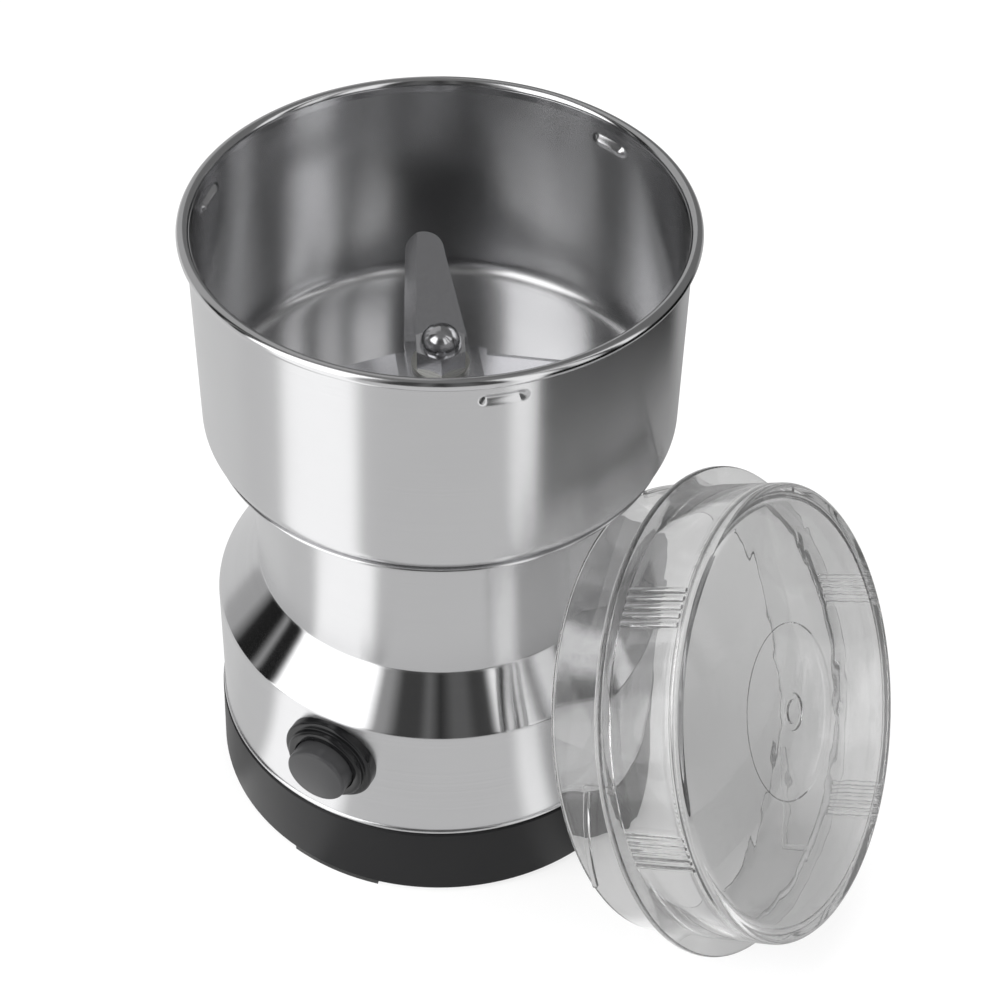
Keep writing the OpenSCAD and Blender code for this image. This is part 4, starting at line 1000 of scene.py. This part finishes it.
@dataclass
class Lid:
    """The clear lid, worked out upright with its flange's underside at zero and then leant over."""

    drum_r: float = 46.8
    drum_h: float = 15.9
    wall: float = 1.8
    top: float = 2.0
    edge_r: float = 1.2
    inner_fillet: float = 2.2
    flange_r: float = 50.6
    flange_t: float = 1.4
    flange_edge: float = 0.45
    skirt_r: float = 46.4
    skirt_h: float = 12.6
    ring_r: float = 18.3
    ring_step: float = 0.3
    gate_r: float = 3.9
    gate_w: float = 1.4
    gate_depth: float = 0.4
    gate_slope: float = 0.15
    rib_turn: float = 53.7
    rib_spread: float = 30.0
    rib_count: int = 5
    rib_pitch: float = 1.8
    rib_d: float = 1.3
    rib_sink: float = 0.12
    rib_gap: float = 0.4
    rib_end: float = 0.2
    rib_foot: float = 0.1
    rib_half_turn: float = 5.6  # degrees with finer points to each side of a group's middle
    rib_turn_step: float = 0.22
    ramp_r: float = 47.1
    ramp_w: float = 1.2
    ramp_turn: float = 7.5
    ramp_angle: float = 30.0
    ramp_drop: float = 5.2
    ramp_edge: float = 0.42  # half the height of a ramp's outer face, as a share of its width
    middle: tuple[float, float, float] = (70.669, -6.7, 47.185)
    lean: float = 25.3

    def profile(self) -> Profile:
        """The outline from the top's middle, down the outside, round the skirt and up the inside."""
        e, inner = self.flange_edge, self.drum_r - self.wall
        skirt_in, under = self.skirt_r - self.wall, self.drum_h - self.top
        return np.concatenate([
            [[0, self.drum_h]],
            [[self.gate_r - self.gate_w - self.gate_slope, self.drum_h]],
            [[self.gate_r - self.gate_w, self.drum_h - self.gate_depth]],
            [[self.gate_r - self.gate_slope, self.drum_h - self.gate_depth], [self.gate_r, self.drum_h]],
            arc(self.drum_r - self.edge_r, self.drum_h - self.edge_r, self.edge_r, 90, 0, 10),
            [[self.drum_r, self.rib_top], [self.drum_r, self.rib_top - self.rib_end]],
            [[self.drum_r, self.flange_t + self.rib_foot], [self.drum_r, self.flange_t]],
            arc(self.flange_r - e, self.flange_t - e, e, 90, 0, 5),
            arc(self.flange_r - e, e, e, 0, -90, 5),
            [[self.skirt_r, 0]],
            arc(self.skirt_r - e, e - self.skirt_h, e, 0, -90, 5),
            arc(skirt_in + e, e - self.skirt_h, e, -90, -180, 5),
            [[skirt_in, 0], [inner, self.flange_t]],
            arc(inner - self.inner_fillet, under - self.inner_fillet, self.inner_fillet, 0, 90, 10),
            [[self.ring_r, under], [self.ring_r - self.ring_step, under - self.ring_step]],
            [[0, under - self.ring_step]],
        ])

    @property
    def rib_top(self) -> float:
        """Height of the grip ribs' tops."""
        return self.drum_h - self.edge_r - self.rib_gap

    @property
    def rib_groups(self) -> np.ndarray:
        """Middle angles of the groups of ribs, in degrees: two groups on each of two sides."""
        offsets = np.array([-self.rib_spread, self.rib_spread])
        return (self.rib_turn + np.concatenate([offsets, 180 + offsets])).ravel()

    def rib_angles(self) -> np.ndarray:
        """Middle angles of the grip ribs, in degrees."""
        step = np.degrees(self.rib_pitch / self.drum_r)
        within = (np.arange(self.rib_count) - (self.rib_count - 1) / 2) * step
        return np.add.outer(self.rib_groups, within).ravel()

    def ribbed(self, points: np.ndarray, angles: np.ndarray) -> np.ndarray:
        """Moves the drum's outside out at the ribs.

        At a distance d along the wall from a rib's middle, a round rib of radius q whose middle lies
        the sink below the wall stands sqrt(q^2 - d^2) - sink out of it.
        """
        off = np.degrees(angles)[:, None] - self.rib_angles()
        d = np.radians(np.abs((off + 180) % 360 - 180).min(axis=1)) * self.drum_r
        q = self.rib_d / 2
        out = np.sqrt(np.clip(q**2 - d**2, 0, None)) - self.rib_sink
        radius = np.hypot(points[..., 0], points[..., 1])
        on_wall = np.isclose(radius, self.drum_r) & (points[..., 2] < self.rib_top - self.rib_end / 2)
        on_wall &= points[..., 2] > self.flange_t + self.rib_foot / 2
        share = 1 + np.where(on_wall, np.clip(out, 0, None)[:, None], 0) / np.maximum(radius, 1e-6)
        moved = points.copy()
        moved[..., :2] *= share[..., None]
        return moved

    def lock_points(self, turn: float) -> np.ndarray:
        """A locking ramp with its stop: one bar that bends round the skirt and falls from the stop.

        At share s along it, it stands at angle turn + s times the ramp's angle, and its middle is at
        minus the drop less s times the fall. The first two sections are the stop's, which reach up
        into the flange.
        """
        half = np.degrees(self.ramp_w / 2 / self.ramp_r)
        after_stop = 0.1
        start, end = turn + half, turn + self.ramp_angle
        angle = np.radians([turn - half, start, *np.linspace(start + after_stop, end, 25)])
        s = (np.degrees(angle) - turn) / self.ramp_angle
        fall = self.skirt_h - self.ramp_drop - self.ramp_w
        middle = -self.ramp_drop - np.clip(s, 0, 1) * fall
        inner = self.skirt_r - self.wall / 2
        r = np.array([inner, self.ramp_r, self.ramp_r, inner])
        z = middle[:, None] + np.array([-0.5, -self.ramp_edge, self.ramp_edge, 0.5]) * self.ramp_w
        z[:2, 2:] = self.flange_t / 2
        return np.stack([np.outer(np.cos(angle), r), np.outer(np.sin(angle), r), z], axis=-1)

    def leant(self, points: np.ndarray) -> np.ndarray:
        """Upright points turned about Y until the lid's axis rises at the lean, and put in place."""
        a = np.radians(90 - self.lean)
        x = points[..., 0] * np.cos(a) + points[..., 2] * np.sin(a)
        z = points[..., 2] * np.cos(a) - points[..., 0] * np.sin(a)
        return np.stack([x, points[..., 1], z], axis=-1) + np.array(self.middle)

    def build(self) -> None:
        """Builds the lid and joins the ramps and their stops on."""
        angles = angles_with(240, self.rib_groups.tolist(), self.rib_half_turn, self.rib_turn_step)
        points = self.leant(self.ribbed(turned(self.profile(), angles), angles))
        lid = surface("clear_lid", points, loop=False)
        for k in range(3):
            combine(lid, self.capped(self.lock_points(self.ramp_turn + 120 * k)), "UNION")
        dress(lid, ClearPlastic("clear_polystyrene").material(), Body.LID, "lid")

    def capped(self, points: np.ndarray) -> Piece:
        """A bar from a grid of sections by corners, with its two ends closed."""
        rows, columns = points.shape[:2]
        ends = np.array([np.arange(columns)[::-1], np.arange(columns) + (rows - 1) * columns])
        faces = np.concatenate([grid_quads(rows, columns, False, True), ends])
        bar = meshed("tool", self.leant(points), faces.tolist())
        weld(bar)
        return bar


# ---------------- carried-over nodes


@dataclass
class CarriedNodes:
    """The base cover, the feet, the blade, the switch and the motor, which stay as the CAD has them."""

    finishes: tuple[tuple[Finish, tuple[str, ...]], ...] = (
        (Moulded("black_base_plastic", "#161617", 0.4, specular=0.17), ("base_cover",)),
        (BareMetal("zinc_plate", "#c9c9c4", 0.34),
         ("base_screws", "motor_bolts", "bowl_nuts", "blade_washer")),
        (BareMetal("stamped_brass", "#cda75f", 0.32),
         ("switch_terminals", "button_contact", "brush_holders")),
        (BareMetal("sintered_bronze", "#a9804e", 0.48, grain_mm=0.25, grain_depth_mm=0.012),
         ("upper_bearing", "lower_bearing")),
        (BareMetal("stacked_core_sheet", "#8b8d93", 0.42, grain_mm=1.0, stretch=(0.02, 0.02, 2.0)),
         ("stator_core", "rotor_core")),
        (BareMetal("enamelled_copper_wire", "#b96a3c", 0.3, grain_mm=0.8, stretch=(1.0, 1.0, 0.1)),
         ("field_coils", "rotor_windings")),
        (BareMetal("turned_copper", "#c0764f", 0.3, stretch=(0.2, 0.2, 4.0)), ("commutator",)),
        (BareMetal("ground_shaft_steel", "#cfcfd2", 0.2, stretch=(0.3, 0.3, 4.0)),
         ("motor_shaft", "blade_collar")),
        (Moulded("natural_nylon", "#d9d6ca", 0.42), ("button_nut", "motor_frame")),
        (Moulded("brown_phenolic", "#6f5140", 0.45), ("switch_body", "lower_bracket")),
        (Moulded("blue_black_fan_plastic", "#3d4148", 0.4), ("cooling_fan",)),
        (Moulded("pressed_carbon", "#2c2c2d", 0.6), ("carbon_brushes",)),
        (Moulded("grey_silicone", "#c5c4be", 0.55), ("bowl_gasket",)),
        (Moulded("matt_rubber", "#2a2a2a", 0.62, grain_mm=0.25), ("foot_pads", "cord_inlet")),
        (Moulded("satin_rubber", "#262626", 0.45), ("hub_seal",)),
        (BareMetal("polished_blade_steel", "#cdcdd0", 0.2, grain_mm=0.5), ("lower_blade", "upper_blade")),
        (BareMetal("polished_nut_steel", "#d3d3d5", 0.16), ("blade_nut",)),
    )

    def build(self, frame: dict) -> None:
        """Gives each node its finish through its material slots."""
        for finish, names in self.finishes:
            material = finish.material()
            for name in names:
                for slot in frame["nodes"][name].material_slots:
                    slot.material = material
                LOG.info("%s: %s", name, material.name)


def main() -> None:
    """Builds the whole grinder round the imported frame."""
    logging.basicConfig(level=logging.INFO, format="%(name)s: %(message)s")
    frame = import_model()
    Studio().build()
    for assembly in (Shell(), Bowl(), PushButton(), ReturnSpring(), Lid()):
        assembly.build()
    CarriedNodes().build(frame)


if __name__ == "__main__":
    main()
